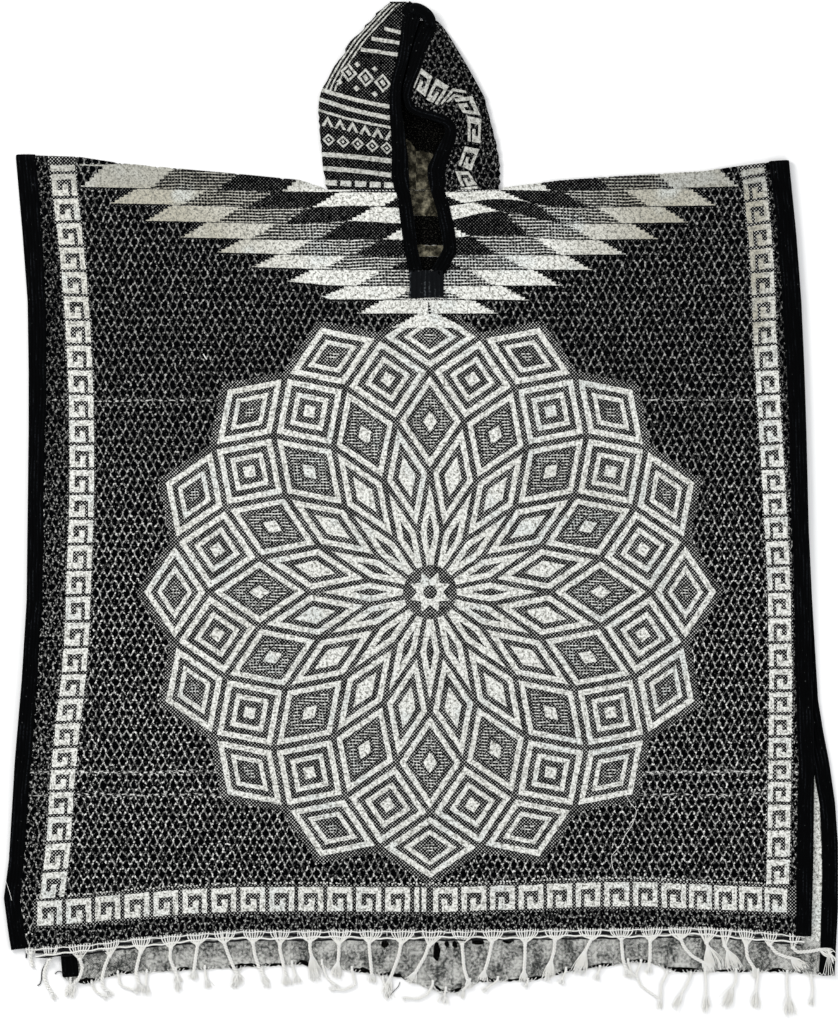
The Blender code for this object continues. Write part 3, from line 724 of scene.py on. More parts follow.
def make_dark_reverse_and_shade():
    # Dark reverse cloth; the same look is also laid as painted shade and painted shadow on the reverse near the hems
    # and inside the hood.
    look = Look("dark_reverse_and_shade", 0.95, 0.0, 0.0)
    grain = look.noise(2.2, 3.0, roughness=0.7)
    look.color(look.mix(look.ramp(grain, 0.54, 0.80, 0.0, 0.4), (0.001, 0.001, 0.001), (0.10, 0.095, 0.08)))
    look.bump(grain, 0.0008, 0.7)
    return look.material


def make_cream_reverse():
    look = Look("cream_reverse", 0.95, 0.03, 0.03)
    grain = look.noise(3.4, 3.0, roughness=0.75)
    cloud = look.noise(12.0, 2.0)
    tone = look.math("ADD", look.ramp(cloud, 0.25, 0.90), look.math("MULTIPLY_ADD", grain, 1.3, -0.66), clamp=True)
    tone = look.math("POWER", tone, 1.6)
    look.color(look.mix(tone, (0.0105, 0.0095, 0.0060), (0.235, 0.215, 0.150)))
    look.bump(grain, 0.0008, 0.7)
    return look.material


def make_tape(name, low, high):
    """Ribbed tape: x runs round the tape's section and y along it."""
    look = Look(name, 0.75, 0.025, 0.01, (0.55, 0.65, 0.72))
    drift = look.math("MULTIPLY_ADD", look.noise(60.0, 1.0), 2.4, look.x)
    rib = look.math("SINE", look.math("MULTIPLY", drift, 2 * pi / 4.6))
    yarn = look.math("SINE", look.math("MULTIPLY", look.math("ADD", look.y, look.math("MULTIPLY", rib, 0.3)), 2 * pi / 1.1))
    wear_and_sheen = look.ramp(look.noise(40.0, 3.0, look.vector(look.math("MULTIPLY", look.x, 5.0), look.y)), 0.44, 0.70)
    grain = look.ramp(look.noise(2.4, 2.0), 0.35, 0.70)
    # Rib crests take the high colour: a painted highlight along the ribs, broken up by wear streaks and grain.
    lit = look.math("MULTIPLY", look.ramp(rib, -0.1, 1.0), look.math("MULTIPLY", wear_and_sheen, grain))
    lint = look.ramp(look.noise(3.0, 0.0), 0.88, 0.94, 0.0, 0.4)
    tone = look.mix(lit, low, high)
    look.color(look.mix(lint, tone, (0.16, 0.17, 0.17)))
    look.bump(look.math("MULTIPLY_ADD", yarn, 0.2, rib), 0.0009, 0.8)
    return look.material


def make_yarn():
    look = Look("cream_yarn", 0.88, 0.14, 0.55)
    ply = look.math("SINE", look.math("MULTIPLY", look.math("ADD", look.x, look.y), 2 * pi / 1.6))
    fuzz = look.noise(0.8, 2.0)
    tone = look.math("ADD", look.ramp(look.noise(12.0, 2.0), 0.3, 0.7), look.math("MULTIPLY_ADD", fuzz, 0.8, -0.4), clamp=True)
    shade = look.mix(tone, (0.97, 0.96, 0.905), (1.0, 1.0, 0.975))
    # Painted shade: the grooves between the plies are darkened.
    look.color(look.mix(look.ramp(ply, 0.3, 1.0, 0.0, 0.22), shade, (0.50, 0.48, 0.41)))
    look.bump(look.math("MULTIPLY_ADD", fuzz, 0.5, ply), 0.0004, 0.7)
    return look.material


def make_dark_yarn_and_shadow():
    # Black yarn; the same look also makes the painted shadow line under the fringe's header.
    look = Look("black_thread_and_shadow", 0.85, 0.05, 0.05)
    look.color(look.mix(look.noise(1.0, 2.0), (0.002, 0.002, 0.003), (0.010, 0.010, 0.011)))
    look.bump(look.noise(0.6, 1.0), 0.0003, 0.5)
    return look.material


HONEYCOMB, WHITE, TWILL, STRIPES, SPECKLE, REVERSE, DARK_REVERSE_AND_SHADE, CREAM_REVERSE, DOTTED = range(9)
cloth_looks = [
    make_honeycomb("honeycomb_net", 10.6, 10.95, 0.0),
    make_white(),
    make_twill("black_twill", 4.6, 0.68, 1.00, 0.22),
    make_stripes(),
    make_honeycomb("speckled_net", 9.6, 9.9, 0.45),
    make_reverse(),
    make_dark_reverse_and_shade(),
    make_cream_reverse(),
    make_twill("dotted_twill", 4.7, 0.54, 0.84, 0.60),
]
# The high colours are the painted highlight on the rib crests; on the tab they also carry the tape's wear.
tape_look = make_tape("ribbed_tape", (0.0005, 0.0006, 0.0008), (0.0130, 0.0150, 0.0180))
tab_look = make_tape("worn_tape_and_sheen", (0.0046, 0.0052, 0.0062), (0.0860, 0.0960, 0.1030))
yarn_look, thread_and_shadow_look = make_yarn(), make_dark_yarn_and_shadow()
rng = np.random.default_rng(7)


# ---------------------------------------------------------------- patterns
def px(x, y):
    """Chart place of a place in the picture."""
    return (x - 430.0, 592.0 - y)


coarse = [1.0]  # how much longer the steps of the outlines are, more than 1 on hidden sides


def shape(kind, points, step=3.0, jitter=0.38):
    return kind, resample(points, step * coarse[0], jitter, rng)


# The key motif: a square spiral of one thick line, in a field 24 wide and 20 tall.
KEY = [
    (0, 0), (0, 20), (24, 20), (24, 0), (8.5, 0), (8.5, 10.5), (14, 10.5), (14, 5), (19, 5),
    (19, 15), (5, 15), (5, 0),
]
Bend = namedtuple("Bend", "y x tilt")
# Middle of each side's key column, in the picture, and how far a unit leans.
LEFT_KEYS = [  # middle of the column in the picture, and how its wefts tilt
    Bend(160, 62, 0.02), Bend(185, 64.6, 0.03), Bend(210, 67.2, 0.03), Bend(234, 70.3, 0.02), Bend(258, 72.8, 0.0),
    Bend(308, 77.1, -0.01), Bend(381, 81.0, 0.0), Bend(456, 82.4, 0.0), Bend(530, 81.2, 0.0), Bend(581, 79.0, 0.02),
    Bend(632, 77.5, 0.02), Bend(684, 73.4, 0.03), Bend(732, 67.2, 0.05), Bend(779, 63.0, 0.03), Bend(827, 59.9, 0.04),
    Bend(853, 58.4, 0.06), Bend(882, 54.2, 0.08), Bend(911, 50.8, 0.08), Bend(930, 48.5, 0.08),
]
RIGHT_KEYS = [
    Bend(160, 751, 0.16), Bend(188, 754.9, 0.16), Bend(212, 757.2, 0.13), Bend(234, 759.4, 0.13), Bend(259, 761.4, 0.11),
    Bend(283, 762.5, 0.11), Bend(333, 764.3, 0.07), Bend(381, 767.0, 0.05), Bend(430, 769.9, 0.05), Bend(480, 773.2, 0.03),
    Bend(528, 775.7, 0.04), Bend(578, 778.2, 0.03), Bend(628, 779.5, 0.02), Bend(680, 780.3, 0.02), Bend(770, 779.4, 0.02),
    Bend(815, 778.8, 0.02), Bend(870, 777.8, 0.02), Bend(897, 776.5, 0.02), Bend(930, 776.0, 0.02),
]
Unit = namedtuple("Unit", "number top")
LEFT_TOPS = [Unit(*row) for row in (
    (-1, 150.4), (0, 174.6), (1, 199.2), (4, 272.4), (8, 370.6), (11, 445.5), (14, 520.1), (17, 596.8), (20, 674.3),
    (23, 747.9), (24, 769.3), (25, 792.0), (26, 816.4), (27, 843.1), (28, 871.8), (29, 900.3),
)]
RIGHT_TOPS = [Unit(*row) for row in (
    (-1, 154.4), (0, 178.3), (1, 201.7), (4, 272.8), (8, 371.0), (12, 469.8), (15, 541.3), (17, 593.0), (20, 669.3),
    (24, 760.4), (25, 781.8), (26, 804.5), (27, 830.4), (28, 859.4), (29, 887.1),
)]
Row = namedtuple("Row", "x y")
BOTTOM_KEYS = [  # top of the bottom row of keys
    Row(38, 901), Row(70, 899), Row(125, 894), Row(184, 889.5), Row(241, 887), Row(298, 886.5),
    Row(433, 887.5), Row(520, 885), Row(560, 883.5), Row(604, 881.8), Row(640, 881.6), Row(689, 884),
    Row(740, 886), Row(790, 888.5), Row(810, 890),
]


def key_columns(left=LEFT_KEYS, right=RIGHT_KEYS):
    made = []
    for table, tops, mirror, width in ((left, LEFT_TOPS, True, 24.2), (right, RIGHT_TOPS, False, 22.6)):
        for k in range(-1, 29):
            top, after = (float(read(tops, "number", "top", n)) for n in (k, k + 1))
            tall = (after - top - 3.2) / 20
            points = []
            rows = KEY
            if k < 0:  # cut off by the shoulder: only the foot of a unit shows
                rows = [(0, 0), (0, 5.5), (24, 5.5), (24, 0)]
            for a, b in rows:
                a = (24 - a if mirror else a) - 12
                y = top + (20 - b) * tall
                x = float(read(table, "y", "x", y))
                tilt = float(read(table, "y", "tilt", y))
                points.append(px(x + a * width / 24, y - tilt * a))
            made.append(shape(WHITE, points, 2.6, 0.5))
    return made


def key_grounds(left=LEFT_KEYS, right=RIGHT_KEYS, bottom=BOTTOM_KEYS):
    """Dotted fields under the keys, and the speckled strips beside them."""
    made = []
    ys = np.arange(150, 900, 8.0)
    for table, side, half in ((left, -1, 13.6), (right, 1, 12.8)):
        middle, tilt = read(table, "y", "x", ys), read(table, "y", "tilt", ys)
        beside = [px(x + side * half, y) for x, y in zip(middle, ys)]
        beyond = [px(x + side * 36, y) for x, y in zip(middle, ys)][::-1]
        made.append(shape(SPECKLE, beside + beyond, 8.0, 0.0))
        near = [px(x - half, y + t * half) for x, y, t in zip(middle, ys, tilt)]
        far = [px(x + half, y - t * half) for x, y, t in zip(middle, ys, tilt)][::-1]
        made.append(shape(DOTTED, near + far, 3.4, 0.6))
    xs = np.arange(34, 806, 12.0)
    top = read(bottom, "x", "y", xs)
    made.append(shape(SPECKLE, [px(x, y + 25) for x, y in zip(xs, top)] + [px(x, y + 52) for x, y in zip(xs, top)][::-1], 8.0, 0.0))
    made.append(shape(DOTTED, [px(x, y - 2.5) for x, y in zip(xs, top)] + [px(x, y + 27) for x, y in zip(xs, top)][::-1], 3.4, 0.6))
    return made


def bottom_keys(bottom=BOTTOM_KEYS):
    made = []
    starts = [(38 + 28.95 * k, 24.5, True) for k in range(13)]
    starts += [(433 + 28.55 * k, 24.5, False) for k in range(9)]
    starts += [(689 + 25.1 * k, 22.4, False) for k in range(4)]
    for start, wide, mirror in starts:
        points = []
        for a, b in KEY:
            a = 24 - a if mirror else a
            x = start + a * wide / 24
            points.append(px(x, float(read(bottom, "x", "y", x)) + 24 - b * 1.2))
        made.append(shape(WHITE, points, 2.6, 0.5))
    for start in (414.6, 421.8):  # the two bars in the middle
        points = [
            px(start + a, float(read(bottom, "x", "y", start)) + 24 - b)
            for a, b in ((0, 0), (0, 24), (4.4, 24), (4.4, 0))
        ]
        made.append(shape(WHITE, points, 3.2, 0.42))
    # a thin broken line of picks above the row
    for x in np.arange(66, 762, 3.1 * coarse[0]):
        y = float(read(bottom, "x", "y", x)) - 4.8 + 0.6 * sin(x)
        if rng.uniform() < (0.35 if x < 430 else 0.12):
            continue
        made.append(shape(WHITE, [px(x, y), px(x + 1.7, y), px(x + 1.7, y + 1.3), px(x, y + 1.3)], 3.0, 0.2))
    return made


# Yoke: rows of slanted lozenges. tip is the outer corner of a row's white lozenge, at its bottom.
Yoke = namedtuple("Yoke", "left_tip left_y middle_y right_y right_tip")
YOKE = [
    Yoke(81, 187.5, 193.0, 187.0, 738), Yoke(111, 204.0, 209.0, 206.0, 715),
    Yoke(146, 221.5, 225.0, 223.0, 687.6), Yoke(181, 238.0, 241.0, 239.5, 657.5),
    Yoke(217, 253.0, 256.0, 255.0, 625.6), Yoke(252, 267.5, 270.0, 270.5, 592),
    Yoke(287, 282.0, 286.0, 286.0, 560), Yoke(322, 297.0, 300.0, 301.0, 529),
    Yoke(357, 312.0, 314.0, 315.0, 498), Yoke(392, 326.0, 328.0, 329.0, 464),
]


def arch(x):
    """How far the rows arch up beside the slit, in squares, where the cloth is pulled."""
    return 13.0 * np.exp(-(((x - 498) / 44) ** 2)) + 3.5 * np.exp(-(((x - 350) / 40) ** 2))


def row_line(row, xs):
    """y in the picture of the bottom of a yoke row at each x. Row -1 is the line above the first."""
    k = max(row, 0)
    at = YOKE[k]
    ys = np.interp(xs, [at.left_tip, 330, 410, 500, at.right_tip], [at.left_y, at.middle_y, at.middle_y, at.middle_y, at.right_y])
    if row < 0:
        ys = ys - 24.0
    pull = np.exp(-((np.asarray(ys) - 222) / 22) ** 2)
    return ys - arch(np.asarray(xs)) * pull


def lozenge(lows, low_y, tops, top_y, steps=6):
    """Outline of a lozenge whose slanted sides go up in steps of the weave."""
    points = [px(x, y) for x, y in zip(lows, low_y - 0.4)]
    for end, order in ((-1, range(steps)), (0, range(steps - 1, -1, -1))):
        stairs = []
        for k in order:
            a, b = k / steps, (k + 1) / steps
            x = [lows[end] * (1 - t) + tops[end] * t for t in (a, b)]
            y = [low_y[end] * (1 - t) + top_y[end] * t for t in (a, b)]
            middle = (y[0] + y[1]) / 2
            corner = [px(x[0], middle), px(x[1], middle)]
            stairs += corner if end else corner[::-1]
        points += stairs
        if end:
            points += [px(x, y) for x, y in zip(tops, top_y + 0.4)][::-1]
    return points


def yoke():
    made = []
    slant, widths = 26.5, (0.0, 70.0, 137.0, 202.0, 270.0, 338.0, 404.0)
    kinds = (WHITE, STRIPES, TWILL, WHITE, TWILL, WHITE)
    wedges = []
    for row, at in enumerate(YOKE):
        for side, tip, scale in ((1, at.left_tip, 1.0), (-1, at.right_tip, 0.93)):
            for kind, a, b in zip(kinds, widths, widths[1:]):
                low_a, low_b = tip + side * a * scale, tip + side * b * scale
                top_a, top_b = low_a + side * slant, low_b + side * slant
                limit = 428.0
                if (limit - low_a) * side <= 1:
                    break
                lows = np.linspace(low_a, low_b, 9)
                tops = np.linspace(top_a, top_b, 9)
                lows, tops = [
                    np.minimum(v, limit) if side > 0 else np.maximum(v, limit) for v in (lows, tops)
                ]
                low_y = row_line(row, lows)
                top_y = row_line(row - 1, tops)
                if row == 0:
                    top_y = top_y + np.where(np.abs(tops - 428) > 90, 0.0, 4.0)
                made.append(shape(kind, lozenge(lows, low_y, tops, top_y), 3.0, 0.3))
        if row == 0:
            made.append(shape(WHITE, [px(80, 164.2), px(118, 165.6), px(118, 167.2), px(80, 165.6)], 3.0, 0.25))
        # a black wedge outside each row's slanted end, and a thin black line below its white
        if row:
            for side, tip, reach in ((1, at.left_tip, 14.0), (-1, at.right_tip, 13.0)):
                if (428 - tip) * side < 30:
                    continue
                xs = np.array([tip, tip + side * slant, tip + side * (slant - reach)])
                ys = [float(row_line(row, xs[0])) - 0.4, *(float(row_line(row - 1, x)) + 0.6 for x in xs[1:])]
                wedges.append(shape(TWILL, [px(x, y) for x, y in zip(xs, ys)], 3.0, 0.4))
        for side, tip in ((1, at.left_tip), (-1, at.right_tip)):
            xs = np.linspace(tip, tip + side * 60, 9)
            if (428 - xs[-1]) * side <= 0:
                continue
            ys = row_line(row, xs)
            points = [px(x, y - 0.5) for x, y in zip(xs, ys)] + [px(x, y + 1.5) for x, y in zip(xs, ys)][::-1]
            made.append(shape(TWILL, points, 5.0, 0.2))
    return wedges + made


# The round field of the front: a rosette of lozenges, sixteen to a ring.
ROSETTE = px(430, 592)
FOLDS = 16
ROSETTE_EDGE = 289.0


def polar(radius, angle, centre=ROSETTE):
    return (centre[0] + radius * sin(angle), centre[1] + radius * cos(angle))


def inset(points, by):
    """A convex outline moved in by a distance."""
    points = np.asarray(points, float)
    n = len(points)
    lines = []
    turn = np.sign(sum(
        (points[(k + 1) % n] - points[k])[0] * (points[(k + 2) % n] - points[(k + 1) % n])[1]
        - (points[(k + 1) % n] - points[k])[1] * (points[(k + 2) % n] - points[(k + 1) % n])[0]
        for k in range(n)
    ))
    for k in range(n):
        d = points[(k + 1) % n] - points[k]
        d = d / np.linalg.norm(d)
        normal = np.array((-d[1], d[0])) * turn
        lines.append((points[k] + normal * by, d))
    made = []
    for k in range(n):
        (p, d), (q, e) = lines[k - 1], lines[k]
        cross = d[0] * e[1] - d[1] * e[0]
        t = ((q - p)[0] * e[1] - (q - p)[1] * e[0]) / cross
        made.append(p + d * t)
    return made


def rosette(centre=ROSETTE, edge=ROSETTE_EDGE, rings=5):
    made = []
    unit = edge / (sin((rings + 1) * pi / FOLDS) / sin(pi / FOLDS))
    reach = [unit * sin(k * pi / FOLDS) / sin(pi / FOLDS) for k in range(rings + 2)]
    outline = []
    for m in range(FOLDS):
        angle = 2 * pi * m / FOLDS + (rings - 1) * pi / FOLDS
        outline.append(polar(reach[rings + 1] + 5, angle, centre))
        outline.append(polar(reach[rings] + 5, angle + pi / FOLDS, centre))
    made.append(shape(DOTTED, outline, 4.0, 0.3))
    for ring in range(1, rings + 1):
        for m in range(FOLDS):
            angle = 2 * pi * m / FOLDS + (ring - 1) * pi / FOLDS
            lozenge = [
                polar(reach[ring - 1], angle, centre), polar(reach[ring], angle + pi / FOLDS, centre),
                polar(reach[ring + 1], angle, centre), polar(reach[ring], angle - pi / FOLDS, centre),
            ]
            for kind, by in ROSETTE_FILL[ring]:
                made.append(shape(kind, inset(lozenge, by), 3.4, 0.34))
    made.append(shape(DOTTED, [polar(27, 2 * pi * k / 24, centre) for k in range(24)], 4.0, 0.3))
    made.append(shape(WHITE, [polar(21 if k % 2 else 13, 2 * pi * k / 16, centre) for k in range(16)], 4.0, 0.3))
    made.append(shape(DOTTED, [polar(7, 2 * pi * k / 12, centre) for k in range(12)], 4.0, 0.3))
    return made


# For each ring, what its lozenges hold from the edge inwards.
ROSETTE_FILL = {
    1: ((WHITE, 2.4), (DOTTED, 8.0)),
    2: ((WHITE, 2.8), (DOTTED, 8.0), (WHITE, 13.5)),
    3: ((WHITE, 2.8), (DOTTED, 7.8), (STRIPES, 12.5), (DOTTED, 19.0), (WHITE, 22.5)),
    4: ((WHITE, 2.8), (DOTTED, 8.2), (WHITE, 14.0), (DOTTED, 18.6), (WHITE, 25.0)),
    5: ((WHITE, 2.8), (DOTTED, 8.2), (WHITE, 13.4), (DOTTED, 17.6), (STRIPES, 24.0)),
}


def front_pattern():
    return key_grounds() + rosette() + key_columns() + bottom_keys() + yoke()


def back_pattern():
    """The same cloth on the hidden outer face of the back, a little longer."""
    coarse[0] = 2.2
    ys = range(150, 1000, 60)
    left = [Bend(y, 430 + float(read(BACK_SIDES, "y", "left", 592 - y)) + 46, 0.0) for y in ys]
    right = [Bend(y, 430 + float(read(BACK_SIDES, "y", "right", 592 - y)) - 44, 0.0) for y in ys]
    bottom = [Row(x, 592 - float(read(BACK_HEM, "x", "y", x - 430)) - 43) for x in range(40, 850, 40)]
    middle = px(430, 610)
    made = (
        key_grounds(left, right, bottom) + rosette(middle) + key_columns(left, right)
        + bottom_keys(bottom) + yoke()
    )
    coarse[0] = 1.0
    return made


# ---------------------------------------------------------------- pattern of the hood
def diamond(x, y, wide, tall, lean=0.0):
    """Outline of a lozenge in the picture; lean is how much its right corner lies below its left."""
    return [px(x - wide, y - lean), px(x, y - tall), px(x + wide, y + lean), px(x, y + tall)]


def band(kind, left, right, thick, bow=0.0):
    """A woven band across the hood, from one height in the picture to another."""
    xs = np.linspace(left[0], right[0], 12)
    share = (xs - left[0]) / (right[0] - left[0])
    ys = left[1] + (right[1] - left[1]) * share + bow * np.sin(pi * share)
    return shape(kind, [px(x, y) for x, y in zip(xs, ys)] + [px(x, y + thick) for x, y in zip(xs, ys)][::-1], 2.6, 0.3)


def hood_left_pattern():
    """Bands, lozenges and small blocks on dark twill."""
    made = []
    vs = np.arange(500, 592, 4.0)
    outer = read(HOOD_LEFT, "y", "outer", vs)
    for a, b in ((3.0, 4.8), (7.6, 9.4), (12.4, 14.2)):  # lines that follow the fold of the crown
        points = [(x + a, v) for x, v in zip(outer, vs)] + [(x + b, v) for x, v in zip(outer, vs)][::-1]
        made.append(shape(WHITE, points, 2.6, 0.25))
    # small stepped bars under the crown
    for x, y, wide in ((392, 31, 15), (383, 41, 22), (374, 52, 26)):
        made.append(band(WHITE, (x - wide / 2, y - 3), (x + wide, y + 3), 3.8))
    # a row of nested lozenges, leaning with the hood
    for x, y in ((349, 74), (366, 79.5), (383, 85)):
        for kind, w, h in ((WHITE, 8.6, 9.6), (TWILL, 5.6, 6.4), (WHITE, 3.0, 3.4)):
            made.append(shape(kind, diamond(x, y, w, h, 1.4), 2.4, 0.25))
    for x, y in ((357.5, 66), (375, 71), (340, 83), (357, 90), (375, 96)):
        made.append(shape(WHITE, diamond(x, y, 3.2, 3.0, 0.6), 2.2, 0.2))
    for left, right, thick in (((318, 87), (392, 107), 4.0), ((318, 97), (392, 118), 4.4), ((318, 109), (392, 128), 2.6)):
        made.append(band(WHITE, left, right, thick, 2.0))
    # zigzag of twill and white
    for k in range(6):
        x = 322 + 12.5 * k
        y = 116 + 3.0 * k
        made.append(shape(WHITE, [px(x, y + 10), px(x + 6, y + 1), px(x + 12, y + 12), px(x + 9, y + 12), px(x + 6, y + 6), px(x + 3, y + 11)], 2.4, 0.2))
    # lozenges between two bands
    for k in range(5):
        x, y = 329 + 14.5 * k, 140.5 + 2.2 * k
        for kind, w, h in ((WHITE, 6.6, 6.2), (TWILL, 4.2, 3.9), (WHITE, 1.8, 1.7)):
            made.append(shape(kind, diamond(x, y, w, h, 0.6), 2.2, 0.2))
    made.append(band(WHITE, (318, 152), (394, 160), 4.6, -0.6))
    made.append(band(WHITE, (318, 166), (394, 174), 4.6, -1.0))
    for k in range(5):
        x = 326 + 14.6 * k
        y = 180 + 0.7 * k
        made.append(shape(WHITE, [px(x, y), px(x + 11, y + 0.6), px(x + 11, y + 6), px(x, y + 5.4)], 2.4, 0.3))
    return made


def key_in(corners):
    """The key motif fitted into four corners in the picture: foot left, foot right, top right,
    top left."""
    a, b, c, d = (np.array(p, float) for p in corners)
    points = []
    for u, v in KEY:
        s, t = u / 24, v / 20
        place = (a * (1 - s) + b * s) * (1 - t) + (d * (1 - s) + c * s) * t
        points.append(px(*place))
    return shape(WHITE, points, 2.6, 0.25)


def hood_right_pattern():
    made = [
        key_in(((412, 88), (425, 98), (432, 78), (419, 68))),
        key_in(((437, 106), (426, 101), (436, 80), (449, 88))),
        key_in(((454, 100), (463, 114), (480, 116), (472, 97))),
        key_in(((468, 142), (480, 144), (481, 120), (467, 117))),
        key_in(((458, 166), (471, 171), (479, 150), (465, 147))),
        key_in(((461, 187), (477, 185), (468, 172), (455, 172))),
    ]
    for line in (
        [(440, 105), (452.5, 89.5), (466, 92), (466, 94.4), (453.5, 92.4), (441.6, 106)],
        [(446, 103), (454, 95.5), (463, 97), (463, 99), (455, 98), (447.6, 104)],
        [(461, 188.5), (477, 186.5), (477.5, 189), (461.5, 191)],
    ):
        made.append(shape(WHITE, [px(x, y) for x, y in line], 2.6, 0.2))
    return made


# ---------------------------------------------------------------- front
def panel_border(sides, hem, step=6.0, neck=True):
    """Corners and sides of a flat panel's outline: the right side from its hem corner up to its shoulder corner, and
    the left side with its shoulder and hem corners.
    """
    points = []
    left_low, right_low = None, None
    ys = np.arange(-330, 437, step)
    right = []
    for y in ys:
        x = float(read(sides, "y", "right", y)) - TAPE_OUT / CHART
        if y > float(read(hem, "x", "y", x)) + 3 and y < float(fold_start(x)[0]) - 3:
            right.append((x, y))
    left = []
    for y in ys:
        x = float(read(sides, "y", "left", y)) + TAPE_OUT / CHART
        if y > float(read(hem, "x", "y", x)) + 3 and y < float(fold_start(x)[0]) - 3:
            left.append((x, y))

    def corner(column, hem_end):
        x = float(read(sides, "y", column, 0.0))
        y = 0.0
        for _ in range(30):
            y = float(read(hem, "x", "y", x)) if hem_end else float(fold_start(x)[0])
            x = float(read(sides, "y", column, y)) + (TAPE_OUT if column == "left" else -TAPE_OUT) / CHART
        return x, y

    low_right, high_right = corner("right", True), corner("right", False)
    low_left, high_left = corner("left", True), corner("left", False)
    return low_right, right, high_right, high_left, left, low_left


def hem_line(hem, x0, x1, step=5.0, wave=0.0):
    xs = np.linspace(x0, x1, max(2, int(abs(x1 - x0) / step)))
    ys = read(hem, "x", "y", xs)
    return [(x, y) for x, y in zip(xs, ys)][1:-1]


low_right, right, high_right, high_left, left, low_left = panel_border(FRONT_SIDES, FRONT_HEM)


def fold_end(x):
    start, radius = fold_start(np.array(float(x)))
    return float(start + pi * radius / CHART)


border = [low_right] + right + [high_right]
end_right = fold_end(high_right[0])
border += [(high_right[0], y) for y in np.linspace(high_right[1], end_right, 4)[1:]]
border += [(x, fold_end(x)) for x in np.arange(high_right[0] - 4, NECK_RIGHT + 1, -5.0)]
border += [(NECK_RIGHT + 0.05, fold_end(NECK_RIGHT + 0.05)), (NECK_RIGHT + 0.05, NECK - 0.11)]
slit_rows = [402 - 0.11, 396, 390, 384, 378, 372, 366, 359, 351, 343, 338, 334, 330, 326, 323]
border += [(x, NECK - 0.11) for x in np.arange(NECK_RIGHT - 4, 4, -4.0)]
border += [(float(read(SLIT, "y", "right", y)), y) for y in slit_rows]
border += [(-2.0, 321), (-6.0, 321)]
border += [(float(read(SLIT, "y", "left", y)), y) for y in slit_rows[::-1]]
border += [(x, NECK - 0.11) for x in np.arange(-26, NECK_LEFT + 2, -4.0)]
border += [(NECK_LEFT - 0.05, NECK - 0.11), (NECK_LEFT - 0.05, fold_end(NECK_LEFT - 0.05))]
border += [(x, fold_end(x)) for x in np.arange(NECK_LEFT - 5, high_left[0] + 2, -5.0)]
end_left = fold_end(high_left[0])
border += [(high_left[0], end_left)] + [
    (high_left[0], y) for y in np.linspace(end_left, high_left[1], 4)[1:]
]
border += left[::-1] + [low_left] + hem_line(FRONT_HEM, low_left[0], low_right[0])

fold_rows = []
for part in (
    np.arange(high_left[0] + 2, NECK_LEFT - 1, 5.0), np.arange(NECK_RIGHT + 2, high_right[0] - 1, 5.0),
):
    start, radius = fold_start(part)
    for share in (0.0, 0.17, 0.34, 0.5, 0.67, 0.84):
        fold_rows.append(np.stack((part + (share * 30 % 5) * 0.5, start + share * pi * radius / CHART), axis=1))

front_cloth = cloth(
    "front_cloth", front_surface, border, front_pattern(), [], 6.6, [np.concatenate(fold_rows)],
    materials=cloth_looks, inner_pitch=14.0, grounds=(HONEYCOMB, REVERSE),
)
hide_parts("front_panel")

# ---------------------------------------------------------------- back
low_right, right, high_right, high_left, left, low_left = panel_border(BACK_SIDES, BACK_HEM)
gap = GAP / CHART


def ragged(points, size):
    """The hem's cut ends: the line moved a little at each point."""
    return [(x, y + rng.uniform(-size, size * 0.4)) for x, y in points]


border = [low_right] + right + [(high_right[0], high_right[1] - gap)]
border += [(x, float(fold_start(x)[0]) - gap) for x in np.arange(high_right[0] - 5, NECK_RIGHT + 1, -5.0)]
border += [(x, NECK - gap / 2) for x in np.linspace(NECK_RIGHT - 0.5, NECK_LEFT + 0.5, 30)]
border += [(x, float(fold_start(x)[0]) - gap) for x in np.arange(NECK_LEFT - 1, high_left[0] + 3, -5.0)]
border += [(high_left[0], high_left[1] - gap)] + left[::-1]
border += [low_left] + ragged(hem_line(BACK_HEM, low_left[0], low_right[0], 2.6), 1.6)


def area_of(kind, *corners):
    return shape(kind, [px(*c) for c in corners], 4.0, 0.6)


# What shows of the reverse: through the slit and beside the right edge, with painted shade along the back's hem and
# painted shadow under the front's hem.
inside_back = [
    area_of(CREAM_REVERSE, (392, 190.3), (460, 190.3), (460, 217), (392, 215)),
    area_of(DARK_REVERSE_AND_SHADE, (392, 215), (460, 217), (460, 246), (392, 244)),
    area_of(CREAM_REVERSE, (392, 244), (460, 246), (460, 257), (392, 256)),
    area_of(DARK_REVERSE_AND_SHADE, (392, 256), (460, 257), (460, 276), (392, 276)),
    area_of(WHITE, (812, 770), (818, 774), (822, 880), (822, 930), (819, 941), (806, 941), (808, 880)),
]
# Painted shade: ragged dark strips along the inside of the back's hem.
for x0, x1, up in ((78, 96, 9), (108, 131, 5), (176, 190, 6), (228, 262, 7), (262, 288, 5), (296, 310, 9), (352, 374, 8), (380, 404, 7), (430, 446, 9), (447, 462, 6), (476, 500, 7), (508, 548, 5), (556, 580, 6), (588, 612, 7), (628, 652, 5), (664, 700, 8), (716, 748, 4), (768, 790, 4)):
    xs = np.linspace(x0, x1, 7)
    hem = 592 - read(BACK_HEM, "x", "y", xs - 430)
    up = up if up > 20 else up * 0.45
    top = hem - up * np.sin(np.linspace(0.15, 3.0, 7)) - rng.uniform(0, 1.2, 7)
    inside_back.append(area_of(DARK_REVERSE_AND_SHADE, *zip(xs, hem + 3), *list(zip(xs, top))[::-1]))
